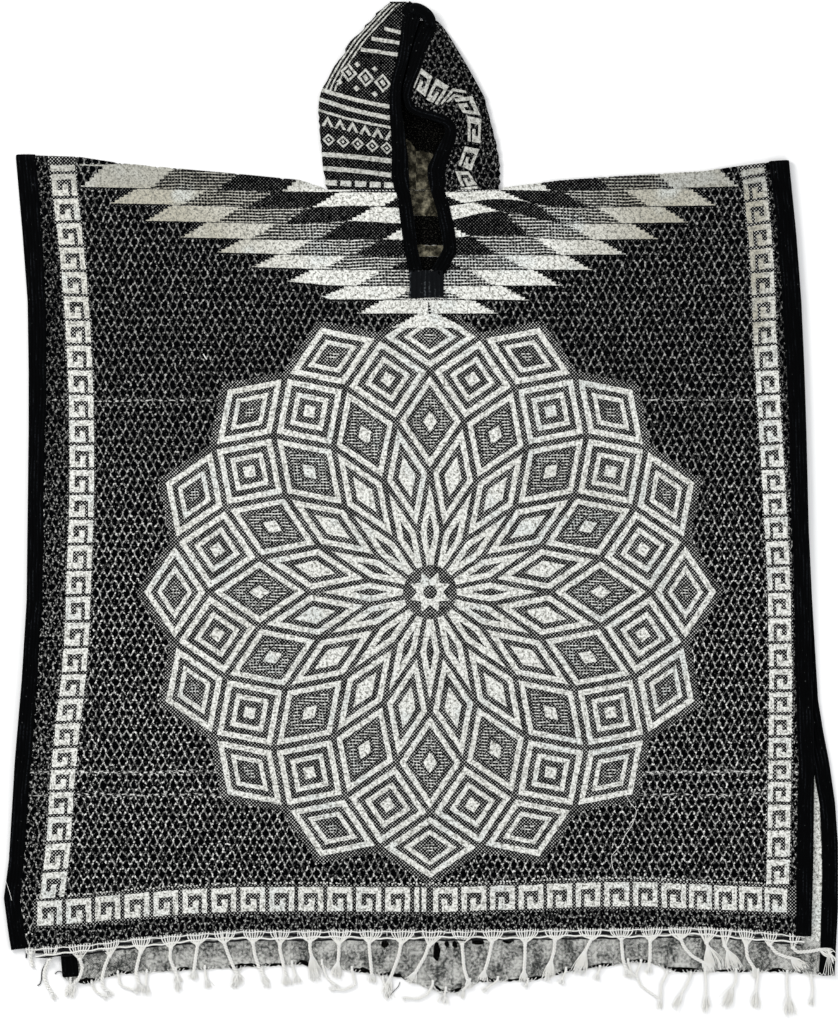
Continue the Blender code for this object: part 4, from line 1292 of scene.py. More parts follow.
# Painted shadow: dark blots on the reverse just under the front's hem and fringe.
for x, y0, y1, wide in ((447, 940, 948, 2.6), (455, 940, 949, 2.8), (437, 941, 962, 4.5), (385, 940, 948, 5.0), (478, 938, 946, 8.0), (508, 938, 944, 7.0)):
    turns, reach = np.linspace(0, 2 * pi, 11)[:-1], rng.uniform(0.72, 1.0, 10)
    middle, tall = (y0 + y1) / 2, (y1 - y0) / 2
    inside_back.append(area_of(DARK_REVERSE_AND_SHADE, *zip(x + wide * reach * np.cos(turns), middle + tall * reach * np.sin(turns))))

back_cloth = cloth(
    "back_cloth", back_surface, border, back_pattern(), inside_back, 10.0, outer_side=-1.0,
    materials=cloth_looks, inner_pitch=8.0, grounds=(HONEYCOMB, REVERSE),
)
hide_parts("back_panel")

# ---------------------------------------------------------------- hood
hoods = {}
for name, table, side, pattern, ground in (
    ("left", HOOD_LEFT, -1, hood_left_pattern(), TWILL), ("right", HOOD_RIGHT, 1, hood_right_pattern(), SPECKLE),
):
    surface = hood_surface(table, side)
    top = max(row.y for row in table) - 0.02
    vs = np.unique(np.concatenate((np.arange(NECK + 3, top, 3.0), [NECK + 0.11, top])))
    face, far = hood_ends(table, side, vs)
    border = list(zip(face, vs)) + list(zip(np.linspace(face[-1], far[-1], 8)[1:-1], [top] * 6))
    border += list(zip(far, vs))[::-1]
    border += list(zip(np.linspace(far[0], face[0], 40)[1:-1], [NECK + 0.11] * 38))
    # The reverse, seen through the face opening, in places of the lower side: dark over the whole inner face, partly
    # the cloth's dark reverse and partly painted shade of the hollow, and pale at the foot.
    outer, seam = read(table, "y", "outer", vs), read(BACK_SEAM, "x", "y", vs)
    inner = []
    cut = vs < 455
    low = vs[cut]
    ends = np.clip(vs, vs[0], vs[-1]) + np.where(vs == vs[0], -3.0, 0.0) + np.where(vs == vs[-1], 3.0, 0.0)
    # Partly painted shade: the inner face is dark all over, standing in for the shaded hollow inside the hood.
    inner.append(shape(DARK_REVERSE_AND_SHADE, list(zip(face - side * 2, ends)) + list(zip(far + side * 2, ends))[::-1], 5.0, 0.0))
    if side < 0:  # pale cloth at the foot of the opening
        reach = np.interp(low, (440, 444, 449, 455.5), (-0.5, 1.5, 4.5, 12))
        pale = [(float(f) - side * float(r), v) for f, v, r in zip(far[cut], low, reach)]
        pale += [(float(f) - side * 30, v) for f, v in zip(far[cut], low)][::-1]
        inner.append(shape(CREAM_REVERSE, pale, 4.0, 0.5))
    else:
        pale = [(float(f) + 0.5, v) for f, v in zip(far[cut], low)]
        cut = vs < 442
        low = vs[cut]
        pale = [(float(f) + 0.5, v) for f, v in zip(far[cut], low)]
        reach = np.interp(low, (396, 414, 422, 434, 439, 441.5), (19, 14, 15, 18, 16, 4))
        pale += [(float(f) - float(r), v) for f, v, r in zip(far[cut], low, reach)][::-1]
        inner.append(shape(CREAM_REVERSE, pale, 4.0, 0.5))
    hood = cloth(
        "hood_cloth_" + name, surface, border, pattern, inner, 4.6, materials=cloth_looks,
        inner_pitch=6.0, grounds=(ground, REVERSE),
    )
    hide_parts("hood_" + name)
    hoods[name] = (hood, surface)


# ---------------------------------------------------------------- binding tapes
def tape_section(width):
    """Round the section of a folded tape: how far in from the cloth's edge, and the height from
    the middle of the cloth, in metres."""
    near, out = HALF + GAP, TAPE_OUT
    top = [(width, near + 0.0003), (width - 0.0002, out - 0.0003), (width - 0.0011, out)]
    top += [(width - 0.0011 + (0.0031 - width) * k / 7, out) for k in range(1, 8)]
    top += [(0.0002, out * 0.97), (-0.0011, out * 0.82), (-0.0019, out * 0.5)]
    under = [(s, -h) for s, h in top[::-1]]
    inner = [(width - 0.0005, -near), (0.0, -near), (-near * 0.8, -near * 0.5)]
    return top + [(-out, 0.0)] + under + inner + [(s, -h) for s, h in inner[::-1]]


def tape_stations(surface, u, v, side, width, wave=0.0):
    """Points of a tape along an edge of the cloth. side is on which side of the edge the cloth is."""
    u, v = np.asarray(u, float), np.asarray(v, float)
    du, dv = np.gradient(u), np.gradient(v)
    kernel = np.ones(5) / 5
    du, dv = (np.convolve(np.pad(d, 2, "edge"), kernel, "valid") for d in (du, dv))
    size = np.hypot(du, dv)
    inx, iny = side * dv / size, -side * du / size
    width = np.broadcast_to(width, u.shape).astype(float)
    if wave:
        k = np.arange(len(u))
        width = width + wave * (np.sin(k * 0.11 + side) + 0.6 * np.sin(k * 0.29 + 2.0))
    sections = np.array([tape_section(w) for w in width])
    s, h = sections[..., 0], sections[..., 1]
    reach = np.maximum(s, 0.0) / CHART
    pu, pv = u[:, None] + inx[:, None] * reach, v[:, None] + iny[:, None] * reach
    base, lift = surface(pu, pv), normals(surface, pu, pv)
    edge = surface(u, v)
    inwards = surface(u + inx * 0.4, v + iny * 0.4) - edge
    inwards /= np.linalg.norm(inwards, axis=-1, keepdims=True)
    points = base + lift * h[..., None] + inwards[:, None, :] * np.minimum(s, 0.0)[..., None]
    return points, sections


def tape(name, node, stations, sections, flip):
    """A closed tube through the stations."""
    rows, count = stations.shape[:2]
    points = stations.reshape(-1, 3)
    turn = np.linalg.norm(np.diff(sections, axis=1, prepend=sections[:, :1]), axis=-1).cumsum(axis=1)
    run = np.linalg.norm(np.diff(stations[:, 10], axis=0, prepend=stations[:1, 10]), axis=-1).cumsum()
    uv = np.stack((turn, np.broadcast_to(run[:, None], turn.shape)), axis=-1).reshape(-1, 2) * 1000
    i = np.arange(rows - 1)[:, None] * count + np.arange(count)
    j = np.arange(rows - 1)[:, None] * count + (np.arange(count) + 1) % count
    faces = np.stack((i, j, j + count, i + count), axis=-1).reshape(-1, 4)
    if flip:
        faces = faces[:, ::-1]
    faces = faces.tolist()
    half = (count - 6) // 2  # outline of the tube's end, cut across between its two walls
    outer, inner = list(range(count - 6)), list(range(count - 6, count))
    for start, turned in ((0, flip), ((rows - 1) * count, not flip)):
        ring = [start + k for k in outer + inner]
        faces.append(ring if turned else ring[::-1])
    obj = build(name, points, faces, [0] * len(faces), uv, [tape_look], 60)
    if node:
        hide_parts(node)
    return obj


def side_path(sides, hem, column, top_end, low_end):
    """u and v of a panel's bound side, from its hem up."""
    offset = TAPE_OUT / CHART if column == "left" else -TAPE_OUT / CHART
    vs = np.arange(low_end, top_end, 3.2)
    vs = np.append(vs, top_end)
    return read(sides, "y", column, vs) + offset, vs


# Width that shows, narrower where the bound edge rolls under.
SIDE_WIDTH = {
    "left": [Level(x, y) for x, y in ((-344, 14.5), (17, 14.2), (160, 15), (290, 17.2), (437, 18))],
    "right": [Level(x, y) for x, y in ((-344, 14.5), (100, 15.2), (290, 17), (437, 18))],
}
for name, sides, hem, surface in (
    ("front_tape", FRONT_SIDES, FRONT_HEM, front_surface), ("back_tape", BACK_SIDES, BACK_HEM, back_surface),
):
    for column, side in (("left", 1), ("right", -1)):
        x = float(read(sides, "y", column, 430.0))
        start, radius = fold_start(np.array(x))
        top_end = float(start + (pi * radius / CHART if name == "front_tape" else -gap))
        x = float(read(sides, "y", column, -360.0))
        low_end = float(read(hem, "x", "y", x)) - 0.2
        u, v = side_path(sides, hem, column, top_end, low_end)
        if name == "front_tape":  # round the shoulder's fold the side stays where it was
            u = np.where(v > start, np.interp(float(start), v, u), u)
        wide = read(SIDE_WIDTH[column], "x", "y", v) * CHART
        stations, sections = tape_stations(surface, u, v, side, wide, 0.0006)
        tape(name + "_" + column + "_shell", name + "_" + column, stations, sections, side < 0)

FACE_WIDTH = {
    "left": [Level(x, y) for x, y in ((402, 13.5), (417, 16), (438, 14), (459, 12), (473, 11), (494, 9.5), (532, 9.5), (550, 11.5), (564, 14.5), (575, 16), (590, 12))],
    "right": [Level(x, y) for x, y in ((402, 14), (412, 16), (426, 16), (439, 13), (451, 11), (463, 9.5), (470, 7), (478, 5.5), (490, 6.5), (505, 8.5), (525, 11.5), (550, 13.5), (564, 15.5), (571, 15.5))],
}
for name, table, side in (("left", HOOD_LEFT, -1), ("right", HOOD_RIGHT, 1)):
    vs = np.append(321.7, np.arange(323.5, NECK - 0.5, 2.6))
    slit, slit_sections = tape_stations(
        front_surface, read(SLIT, "y", name, vs), vs, side, FACE_TAPE * 0.985, 0.0003
    )
    top = max(row.y for row in table) - 0.3
    vs = np.arange(NECK + 1.5, top, 1.2)
    us = read(table, "y", "face", vs)
    # Even steps along the edge, so that its turns stay round.
    for _ in range(3):
        us = np.convolve(np.pad(us, 1, "edge"), (0.25, 0.5, 0.25), "valid")
    run = np.append(0.0, np.hypot(np.diff(us), np.diff(vs)).cumsum())
    even = np.linspace(0, run[-1], int(run[-1] / 2.0))
    us, vs = np.interp(even, run, us), np.interp(even, run, vs)
    wide = read(FACE_WIDTH[name], "x", "y", vs) * CHART
    face, face_sections = tape_stations(hoods[name][1], us, vs, side, wide)
    stations = np.concatenate((slit, face))
    sections = np.concatenate((slit_sections, face_sections))
    tape("face_tape_" + name + "_shell", "face_tape_" + name, stations, sections, side > 0)

# The tape's turned end at the hood's peak, a small flattened roll.
path = np.array([px(*p) for p in ((409.5, 8.5), (415, 9.6), (420.5, 11.6), (425, 14.4), (428.6, 18.4), (430.4, 23.5), (430.6, 28.5))])
share = np.linspace(0, 1, 22)
path = np.stack([np.interp(share, np.linspace(0, 1, len(path)), path[:, k]) for k in (0, 1)], axis=1)
for _ in range(3):
    path[1:-1] = path[:-2] * 0.25 + path[1:-1] * 0.5 + path[2:] * 0.25
along = np.gradient(path, axis=0)
along /= np.linalg.norm(along, axis=1, keepdims=True)
across = np.stack((-along[:, 1], along[:, 0]), axis=1)
thick = np.sqrt(np.clip(1 - (2 * share - 1) ** 6, 0.03, 1))
peak = float(hoods["left"][1](np.array(-22.0), np.array(578.0))[2])
turn = np.linspace(0, 2 * pi, 19)[:-1]
cap = []
for (u, v), (du, dv), r in zip(path, across, thick):
    wide = r * 6.2
    cap.append([((u + du * wide * cos(t)) * CHART, (v + dv * wide * cos(t)) * CHART, peak + 0.0044 + 0.0048 * r * sin(t)) for t in turn])
cap = np.array(cap)
count = len(turn)
faces = [(i * count + j, i * count + (j + 1) % count, (i + 1) * count + (j + 1) % count, (i + 1) * count + j) for i in range(len(path) - 1) for j in range(count)]
faces += [tuple(range(count))[::-1], tuple((len(path) - 1) * count + j for j in range(count))]
cap_uv = [(t * 4.0, k * 1.6) for k in range(len(path)) for t in turn]
cap = build("hood_peak_roll", cap.reshape(-1, 3), faces, [0] * len(faces), cap_uv, [tape_look], 60)

# The ribbed tab below the slit.
us, vs = np.meshgrid(np.linspace(-20.6, 13.6, 64), np.linspace(294.2, 321.3, 22))
tab_base, tab_normal = front_surface(us, vs), normals(front_surface, us, vs)
ribs = 0.00030 * np.cos((us + 3.5) * 2 * pi / 5.0)
tab_top = tab_base + tab_normal * (TAPE_OUT + ribs)[..., None]
tab_under = tab_base + tab_normal * (HALF + GAP)
points = np.concatenate((tab_top.reshape(-1, 3), tab_under.reshape(-1, 3)))
rows, columns = us.shape
faces = []
count = rows * columns
for i in range(rows - 1):
    for j in range(columns - 1):
        a = i * columns + j
        faces.append((a, a + 1, a + columns + 1, a + columns))
        faces.append(tuple(count + k for k in (a, a + columns, a + columns + 1, a + 1)))
rim = (
    list(range(columns)) + [i * columns + columns - 1 for i in range(1, rows)]
    + [(rows - 1) * columns + j for j in range(columns - 2, -1, -1)] + [i * columns for i in range(rows - 2, 0, -1)]
)
for a, b in zip(rim, rim[1:] + rim[:1]):
    faces.append((b, a, count + a, count + b))
uv = np.stack(((us * 4.6 / 5.0), vs * CHART * 1000), axis=-1).reshape(-1, 2)
tab = build("neck_tab_shell", points, faces, [0] * len(faces), np.concatenate((uv, uv)), [tab_look], 60)
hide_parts("neck_tab")


# ---------------------------------------------------------------- yarns
class Bundle:
    """Many yarns in one mesh. Paths are in metres."""

    def __init__(self):
        self.points, self.faces, self.uvs, self.count = [], [], [], 0

    def yarn(self, path, radius, sides=4):
        path = np.asarray(path, float)
        n = len(path)
        radius = np.broadcast_to(radius, n)
        along = np.gradient(path, axis=0)
        along /= np.maximum(np.linalg.norm(along, axis=1, keepdims=True), 1e-9)
        side = np.cross(along, (0.0, 0.0, 1.0))
        size = np.linalg.norm(side, axis=1, keepdims=True)
        side = np.where(size > 0.15, side / np.maximum(size, 1e-9), (1.0, 0.0, 0.0))
        other = np.cross(side, along)
        turn = np.arange(sides) * 2 * pi / sides
        ring = path[:, None] + radius[:, None, None] * (
            side[:, None] * np.cos(turn)[:, None] + other[:, None] * np.sin(turn)[:, None]
        )
        run = np.append(0.0, np.linalg.norm(np.diff(path, axis=0), axis=1).cumsum()) * 1000
        u = turn[None] * radius[:, None] * 1000
        self.uvs.append(np.stack((u, np.broadcast_to(run[:, None], u.shape)), axis=-1).reshape(-1, 2))
        self.points.append(ring.reshape(-1, 3))
        start = self.count
        for i in range(n - 1):
            for k in range(sides):
                a, b = start + i * sides + k, start + i * sides + (k + 1) % sides
                self.faces.append((a, a + sides, b + sides, b))
        self.faces.append(tuple(range(start, start + sides)))
        self.faces.append(tuple(range(start + (n - 1) * sides, start + n * sides))[::-1])
        self.count += n * sides

    def cord(self, path, strand, pitch=0.0085, sides=6, spread=0.9):
        """Two strands twisted about a path."""
        path = even_steps(path, 0.0013)
        along = np.gradient(path, axis=0)
        along /= np.linalg.norm(along, axis=1, keepdims=True)
        side = np.cross(along, (0.0, 0.0, 1.0))
        side /= np.maximum(np.linalg.norm(side, axis=1, keepdims=True), 1e-9)
        other = np.cross(side, along)
        turn = np.arange(len(path)) * 0.0013 * 2 * pi / pitch + rng.uniform(0, 6)
        for phase in (0.0, pi):
            place = path + strand * spread * (
                side * np.cos(turn + phase)[:, None] + other * np.sin(turn + phase)[:, None]
            )
            self.yarn(place, strand, sides)

    def finish(self, name, look, nodes=()):
        points = np.concatenate(self.points)
        points[:, 2] = np.maximum(points[:, 2], 0.00005)
        obj = build(name, points, self.faces, [0] * len(self.faces), np.concatenate(self.uvs), [look], 80)
        if nodes:
            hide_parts(*nodes)
        return obj


def even_steps(path, step):
    path = np.asarray(path, float)
    run = np.append(0.0, np.linalg.norm(np.diff(path, axis=0), axis=1).cumsum())
    at = np.linspace(0, run[-1], max(3, int(run[-1] / step) + 1))
    return np.stack([np.interp(at, run, path[:, k]) for k in range(3)], axis=1)


def rounded(places, step=1.2):
    """A smooth path through places in the picture, as chart places."""
    places = np.array([px(*p) for p in places], float)
    run = np.append(0.0, np.hypot(*np.diff(places, axis=0).T).cumsum())
    at = np.linspace(0, run[-1], max(4, int(run[-1] / step) + 1))
    made = np.stack([np.interp(at, run, places[:, k]) for k in range(2)], axis=1)
    for _ in range(4):
        made[1:-1] = 0.25 * made[:-2] + 0.5 * made[1:-1] + 0.25 * made[2:]
    return made


def ground_height(x, y):
    """Top of what lies under the fringe at chart places: the back's reverse, or the floor."""
    left, right = read(BACK_SIDES, "y", "left", y), read(BACK_SIDES, "y", "right", y)
    hem = read(BACK_HEM, "x", "y", x)
    on_back = (x > left) & (x < right) & (y > hem)
    near = np.minimum(x - left, right - x) < SIDE_TAPE / CHART
    lifted = back_height(x, y) + HALF + np.where(near, TAPE + GAP, 0.0) + ridge_height(BACK_CREASES, x, y) * (y < -345)
    return np.where(on_back, lifted, 0.0)


def lying(places, above, start=None, blend=8.0):
    """The path through places in the picture with heights, resting above what it lies on. start is
    a height to come down from."""
    flat = rounded(places) if len(np.shape(places)) and not isinstance(places, np.ndarray) else places
    z = ground_height(flat[:, 0], flat[:, 1])
    for _ in range(6):
        z[1:-1] = np.maximum(z[1:-1], 0.5 * (z[:-2] + z[2:]))
    z = z + above
    if start is not None:
        run = np.append(0.0, np.hypot(*np.diff(flat, axis=0).T).cumsum())
        share = 1 - smooth(0.0, blend, run)
        z = np.maximum(z, z + (start - z) * share)
    return np.stack((flat[:, 0] * CHART, flat[:, 1] * CHART, z), axis=1)


def tuft(bundle, end, direction, length, wide, count=16, above=0.0008):
    """A frayed end: fine yarns that leave a place in the picture in a direction and spread."""
    a = np.arctan2(direction[1], direction[0])
    for k in range(count):
        turn = a + rng.normal(0, 0.10)
        out = length * rng.uniform(0.65, 1.05)
        off = rng.uniform(-1, 1)
        side = np.array((-sin(a), cos(a)))
        ahead = np.array((cos(turn), sin(turn)))
        places = [
            np.array(end) + side * off * 0.9,
            np.array(end) + ahead * out * 0.4 + side * off * wide * 0.38,
            np.array(end) + ahead * out * 0.75 + side * off * wide * 0.5 + rng.normal(0, 0.5, 2),
            np.array(end) + ahead * out + side * off * wide * rng.uniform(0.25, 0.6) + rng.normal(0, 0.8, 2),
        ]
        path = lying([tuple(p) for p in places], above + rng.uniform(0.0, 0.0022))
        bundle.yarn(path[::2] if len(path) > 8 else path, np.linspace(0.00078, 0.00046, len(path[::2] if len(path) > 8 else path)), 3)


Tassel = namedtuple("Tassel", "x fan path tuft wide")
# Middle of the fan, its width, the cord's path from the knot, and the tuft's length and width.
FRONT_TASSELS = [
    Tassel(31, 12, [(31, 953), (31, 960), (33, 966)], 3, 3),
    Tassel(51, 17, [(50, 960), (45, 969), (44, 976), (47, 985), (53, 994)], 7, 6),
    Tassel(80, 24, [(80, 959), (83, 967), (80, 977), (74, 984)], 14, 8),
    Tassel(110, 22, [(110, 956), (105, 966), (102, 979), (103, 987), (108, 991)], 7, 8),
    Tassel(141, 22, [(141, 952), (138, 962), (136, 972), (139, 984)], 9, 8),
    Tassel(171, 22, [(171, 948), (170, 958), (174, 968), (177, 975)], 10, 8),
    Tassel(198, 24, [(198, 944), (196, 956), (194, 972)], 9, 10),
    Tassel(225, 24, [(224, 943), (228, 953), (233, 965), (237, 974)], 13, 12),
    Tassel(254, 24, [(253, 943), (255, 955), (259, 967), (264, 976)], 10, 9),
    Tassel(280, 22, [(280, 944), (280, 950), (283, 962), (286, 976)], 11, 9),
    Tassel(310, 25, [(310, 942), (310, 950), (312, 956)], 28, 13),
    Tassel(340, 25, [(339, 944), (339, 953), (338, 963)], 17, 9),
    Tassel(371, 25, [(369, 943), (370, 955), (372, 974)], 11, 8),
    Tassel(403, 26, [(401, 944), (399, 955), (395, 966), (390, 979)], 18, 9),
    Tassel(434, 24, [(429, 946), (425, 956), (419, 966), (415, 973)], 13, 9),
    Tassel(463, 26, [(462, 944), (463, 955), (464, 968), (468, 981)], 9, 8),
    Tassel(493, 24, [(492, 942), (490, 952), (487, 964), (484, 972)], 11, 9),
    Tassel(527, 25, [(525, 943), (525, 955), (524, 972)], 12, 9),
    Tassel(556, 24, [(555, 940), (554, 951), (551, 961)], 22, 9),
    Tassel(590, 26, [(592, 939), (588, 945), (585, 951)], 26, 12),
    Tassel(621, 25, [(621, 939), (622, 950), (623, 960), (627, 970)], 10, 9),
    Tassel(651, 25, [(650, 941), (650, 955), (649, 967)], 8, 8),
    Tassel(680, 25, [(680, 939), (684, 947), (692, 956), (703, 962)], 15, 9),
    Tassel(708, 22, [(706, 943), (708, 947)], 28, 15),
    Tassel(726, 15, [(724, 946), (728, 951)], 23, 12),
    Tassel(747, 20, [(746, 946), (747, 957), (754, 968)], 12, 7),
    Tassel(769, 18, [(769, 945), (775, 952), (784, 956), (792, 958)], 18, 11),
    Tassel(795, 12, [(792, 948), (797, 952), (810, 951), (820, 949)], 14, 10),
]


def front_hem_px(x):
    return 592 - read(FRONT_HEM, "x", "y", np.asarray(x, float) - 430)


front_yarns = Bundle()
for item in FRONT_TASSELS:
    knot = np.array(item.path[0], float)
    hem = float(front_hem_px(item.x))
    yarns = max(4, int(item.fan / 2.7))
    edge = float(front_height(item.x - 430, 592 - hem))
    for k in range(yarns):
        share = (k + 0.5) / yarns - 0.5
        x = item.x + item.fan * share + rng.normal(0, 0.35)
        top = float(front_hem_px(x)) - 0.6
        bend = knot[0] + (x - knot[0]) * 0.62
        places = [(x, top), (x, top + 5.5), (bend, top + 8.5), (knot[0] + share * 1.6, knot[1] + rng.uniform(-1, 1))]
        path = rounded(places, 2.2)
        z = edge + (lying(path, 0.0018)[-1, 2] - edge) * smooth(0.35, 1.0, np.linspace(0, 1, len(path)))
        front_yarns.yarn(np.stack((path[:, 0] * CHART, path[:, 1] * CHART, z + 0.0006 + 0.0003 * (k % 3)), axis=1), 0.00082, 4)
    flat = rounded([(knot[0], knot[1] - 1.5)] + [tuple(p) for p in item.path[1:]])
    path = lying(flat, 0.0021, edge, 10.0)
    front_yarns.cord(path, 0.00138, 0.0086, 6, 1.0)
    # the knot: a few tight turns
    where = even_steps(path, 0.001)[1]
    turns = np.linspace(0, 2 * pi * 2.2, 22)
    front_yarns.yarn(
        np.stack((where[0] + 0.0022 * np.cos(turns), where[1] - 0.0013 * turns / 7 + 0.0006, where[2] + 0.0018 * np.sin(turns)), axis=1),
        0.0011, 5,
    )
    end = np.array(item.path[-1], float)
    direction = end - np.array(item.path[-2], float)
    direction = direction / np.linalg.norm(direction) + np.array((0, 0.7))
    tuft(front_yarns, end - direction * 0.8, direction, item.tuft, item.wide, int(14 + item.tuft * 1.25), 0.0012)

# The fringe's header: two weft lines past the cloth's edge.
for offset, radius in ((1.6, 0.00088), (7.4, 0.00125)):
    xs = np.arange(27 if offset < 4 else 36, 806, 3.0)
    ys = front_hem_px(xs) + offset + 0.5 * np.sin(xs * 0.35 + offset) + (0.9 * np.sin(xs * 0.052) if offset > 4 else 0.0)
    cx, cy = xs - 430, 592 - ys
    z = front_height(cx, np.maximum(cy, read(FRONT_HEM, "x", "y", cx)))
    front_yarns.yarn(np.stack((cx * CHART, cy * CHART, z + 0.0004), axis=1), radius, 5)
# short yarns between the lines and where loops of weft stand out
for x in np.arange(36, 800, 2.7):
    if rng.uniform() < 0.42:
        top = float(front_hem_px(x)) - 1.2
        far = rng.uniform(2.0, 3.6) if rng.uniform() < 0.8 else 7.0
        cx, cy = x - 430 + rng.normal(0, 0.3, 3), 592 - (top + np.array((0, far / 2, far)))
        z = front_height(cx, np.maximum(cy, read(FRONT_HEM, "x", "y", cx)))
        front_yarns.yarn(np.stack((cx * CHART, cy * CHART, z + 0.0009), axis=1), 0.00045, 3)
front_tassels = front_yarns.finish("front_tassels", yarn_look, ["front_fringe"])

# A dark weft behind the header: the front's last picks. The second, lower line is a dark thread laid as painted shadow
# under the header.
dark_yarns_and_shadow = Bundle()
for offset, radius in ((4.5, 0.0021), (9.6, 0.0013)):
    xs = np.arange(36, 804, 3.0)
    ys = front_hem_px(xs) + offset + 0.4 * np.sin(xs * 0.3)
    cx, cy = xs - 430, 592 - ys
    z = front_height(cx, np.maximum(cy, read(FRONT_HEM, "x", "y", cx)))
    dark_yarns_and_shadow.yarn(np.stack((cx * CHART, cy * CHART, z - 0.0012), axis=1), radius, 5)
for places, radius in (
    ([(47, 961), (42, 970), (41.5, 980), (40, 985), (37.5, 985.5)], 0.0007),
    ([(55, 974), (58, 970.5), (62, 971.5), (65, 973)], 0.0006),
    ([(400, 982), (399, 986), (392, 993), (388, 998)], 0.00045),
    ([(26.5, 950), (26.3, 958)], 0.0010),
):
    dark_yarns_and_shadow.yarn(lying(places, 0.0007), radius, 5)
dark_threads_and_shadow_line = dark_yarns_and_shadow.finish("dark_threads_and_shadow_line", thread_and_shadow_look)

# Back fringe.
BACK_TASSELS = [
    ([(71, 981), (70, 987)], 12, 8), ([(92, 984), (96, 992), (104, 996)], 5, 5),
    ([(118, 974), (121, 986), (134, 990)], 7, 7), ([(147, 973), (146, 985)], 12, 9),
    ([(176, 971), (178, 981)], 12, 9), ([(205, 969), (207, 980)], 10, 12), ([(237, 975), (235, 982)], 8, 10),
    ([(262, 970), (266, 982)], 7, 8), ([(292, 964), (296, 976)], 10, 9), ([(322, 963), (327, 978), (334, 984)], 7, 7),
    ([(352, 970), (356, 985), (344, 990), (334, 989)], 5, 6), ([(383, 980), (387, 990)], 11, 9),
    ([(433, 984), (428, 994), (418, 999), (406, 998)], 5, 5), ([(446, 990), (444, 996)], 9, 12),
    ([(470, 982), (463, 990)], 10, 10), ([(498, 980), (487, 988)], 6, 8), ([(528, 982), (526, 985)], 4, 6),
    ([(566, 971), (562, 980)], 6, 8), ([(600, 969), (597, 975)], 6, 9), ([(628, 962), (632, 974)], 6, 8),
    ([(641, 963), (636, 974), (641, 986), (652, 994), (658, 998)], 6, 5),
    ([(667, 974), (661, 984), (661, 998)], 13, 5), ([(691, 975), (686, 986), (681, 994)], 17, 6),
    ([(705, 971), (706, 983), (706, 995)], 18, 7), ([(736, 972), (736, 982), (732, 988)], 22, 9),
    ([(758, 972), (757, 984), (756, 992)], 19, 9), ([(787, 974), (787, 986), (788, 997)], 22, 9),
    ([(811, 978), (813, 988), (812, 998)], 9, 6), ([(828, 952), (832, 956)], 8, 7),
]
back_yarns = Bundle()
for path, length, wide in BACK_TASSELS:
    path = [(x, y) for x, y in path]
    head = (path[0][0], path[0][1] - 4)
    back_yarns.cord(lying([head] + path, 0.0021), 0.0011, 0.0075, 5, 0.85)
    for k in range(5):
        x = path[0][0] + (k - 2) * 4.2
        hem = float(592 - read(BACK_HEM, "x", "y", x - 430))
        back_yarns.yarn(lying([(x, hem - 1.5), (x * 0.7 + path[0][0] * 0.3, hem + 2), (path[0][0], path[0][1])], 0.0009), 0.0005, 3)
    end = np.array(path[-1], float)
    direction = end - np.array(path[-2], float)
    direction = direction / np.linalg.norm(direction) + np.array((0, 0.5))
    tuft(back_yarns, end - direction * 0.6, direction, length, wide, int(8 + length * 0.7), 0.0008)
xs = np.arange(66, 828, 3.0)
ys = 592 - read(BACK_HEM, "x", "y", xs - 430)
back_yarns.yarn(lying(np.array([px(x, y + 0.8 + 0.4 * sin(x * 0.4)) for x, y in zip(xs, ys)]), 0.0008), 0.0006, 4)
back_tassels = back_yarns.finish("back_tassels", yarn_look, ["back_fringe"])

# Loose threads and stitches on the cloth.
white_yarns = Bundle()


def on_front(places, above=0.0004):
    flat = rounded(places, 1.5)
    base, lift = front_surface(flat[:, 0], flat[:, 1]), normals(front_surface, flat[:, 0], flat[:, 1])
    return base + lift * (HALF + above)


white_yarns.yarn(on_front([(626, 795), (630, 803), (637, 810), (634, 820), (630, 828), (624, 836), (622, 843), (616, 850), (611, 855), (612, 866), (617, 878)]), 0.00042, 5)
white_yarns.yarn(on_front([(203.5, 354), (205, 357), (207, 359.5)]), 0.0009, 5)
white_yarns.yarn(on_front([(6, 880), (8, 886), (10.5, 893), (12, 900)], TAPE + GAP + 0.0003), 0.00030, 4)
for x in np.arange(328, 397, 3.4):
    white_yarns.yarn(on_front([(x, 190.8), (x + 1.8, 191.4)], 0.0003), 0.00042, 4)
for x in np.arange(458, 499, 3.4):
    white_yarns.yarn(on_front([(x, 190.8), (x + 1.8, 191.2)], 0.0003), 0.00042, 4)
for x in np.arange(409, 445, 2.6):
    white_yarns.yarn(on_front([(x, 299.6), (x + 1.2, 300.2)], 0.0003), 0.00036, 4)
loose_threads = white_yarns.finish("loose_threads", yarn_look)

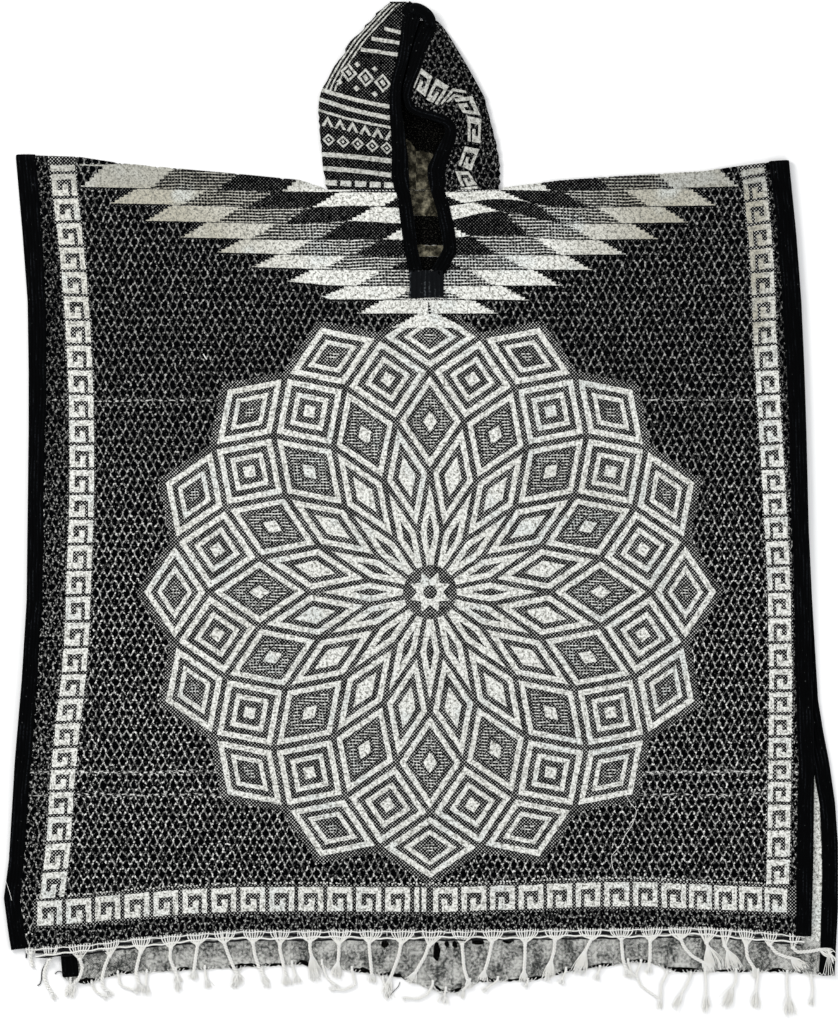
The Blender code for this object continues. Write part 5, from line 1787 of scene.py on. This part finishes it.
# ---------------------------------------------------------------- camera, light and floor
DISTANCE = 6.0
scene = bpy.context.scene
camera_data = bpy.data.cameras.new("camera")
camera_data.sensor_width = 36.0
camera_data.lens = 36.0 * DISTANCE / (1024 * CHART)
camera_data.clip_start, camera_data.clip_end = 0.1, 60.0
camera = bpy.data.objects.new("camera", camera_data)
camera.location = (MIDDLE.x, MIDDLE.y, DISTANCE)
scene.collection.objects.link(camera)
scene.camera = camera

floor_look = Look("floor", 0.85, 0.1)
floor_look.color(floor_look.mix(floor_look.noise(400.0, 2.0), (0.90, 0.90, 0.895), (0.93, 0.93, 0.925)))
floor_mesh = bpy.data.meshes.new("floor")
floor_mesh.from_pydata([(-6, -6, -0.0004), (6, -6, -0.0004), (6, 6, -0.0004), (-6, 6, -0.0004)], [], [(0, 1, 2, 3)])
floor_mesh.materials.append(floor_look.material)
floor_uv = floor_mesh.uv_layers.new(name="UVMap")
for loop, corner in zip(floor_uv.data, ((-6000, -6000), (6000, -6000), (6000, 6000), (-6000, 6000))):
    loop.uv = corner
floor = bpy.data.objects.new("floor", floor_mesh)
scene.collection.objects.link(floor)
floor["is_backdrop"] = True

world = bpy.data.worlds.new("studio")
world.use_nodes = True
world.node_tree.nodes["Background"].inputs["Color"].default_value = (0.97, 0.98, 1.0, 1.0)
world.node_tree.nodes["Background"].inputs["Strength"].default_value = 0.83
scene.world = world


def area_light(name, place, target, size, power, color):
    data = bpy.data.lights.new(name, "AREA")
    data.shape = "SQUARE"
    data.size = size
    data.energy = power
    data.color = color
    obj = bpy.data.objects.new(name, data)
    obj.location = place
    obj.rotation_euler = (Vector(target) - Vector(place)).to_track_quat("-Z", "Y").to_euler()
    scene.collection.objects.link(obj)


area_light("key", (-1.9, 1.6, 2.0), (0, 0, 0), 1.2, 57, (1.0, 0.99, 0.97))
area_light("fill", (2.2, -1.4, 2.4), (0, 0, 0), 2.0, 24, (0.98, 0.99, 1.0))
scene.view_settings.view_transform = "Standard"
scene.view_settings.look = "None"

# ---------------------------------------------------------------- end
low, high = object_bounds()
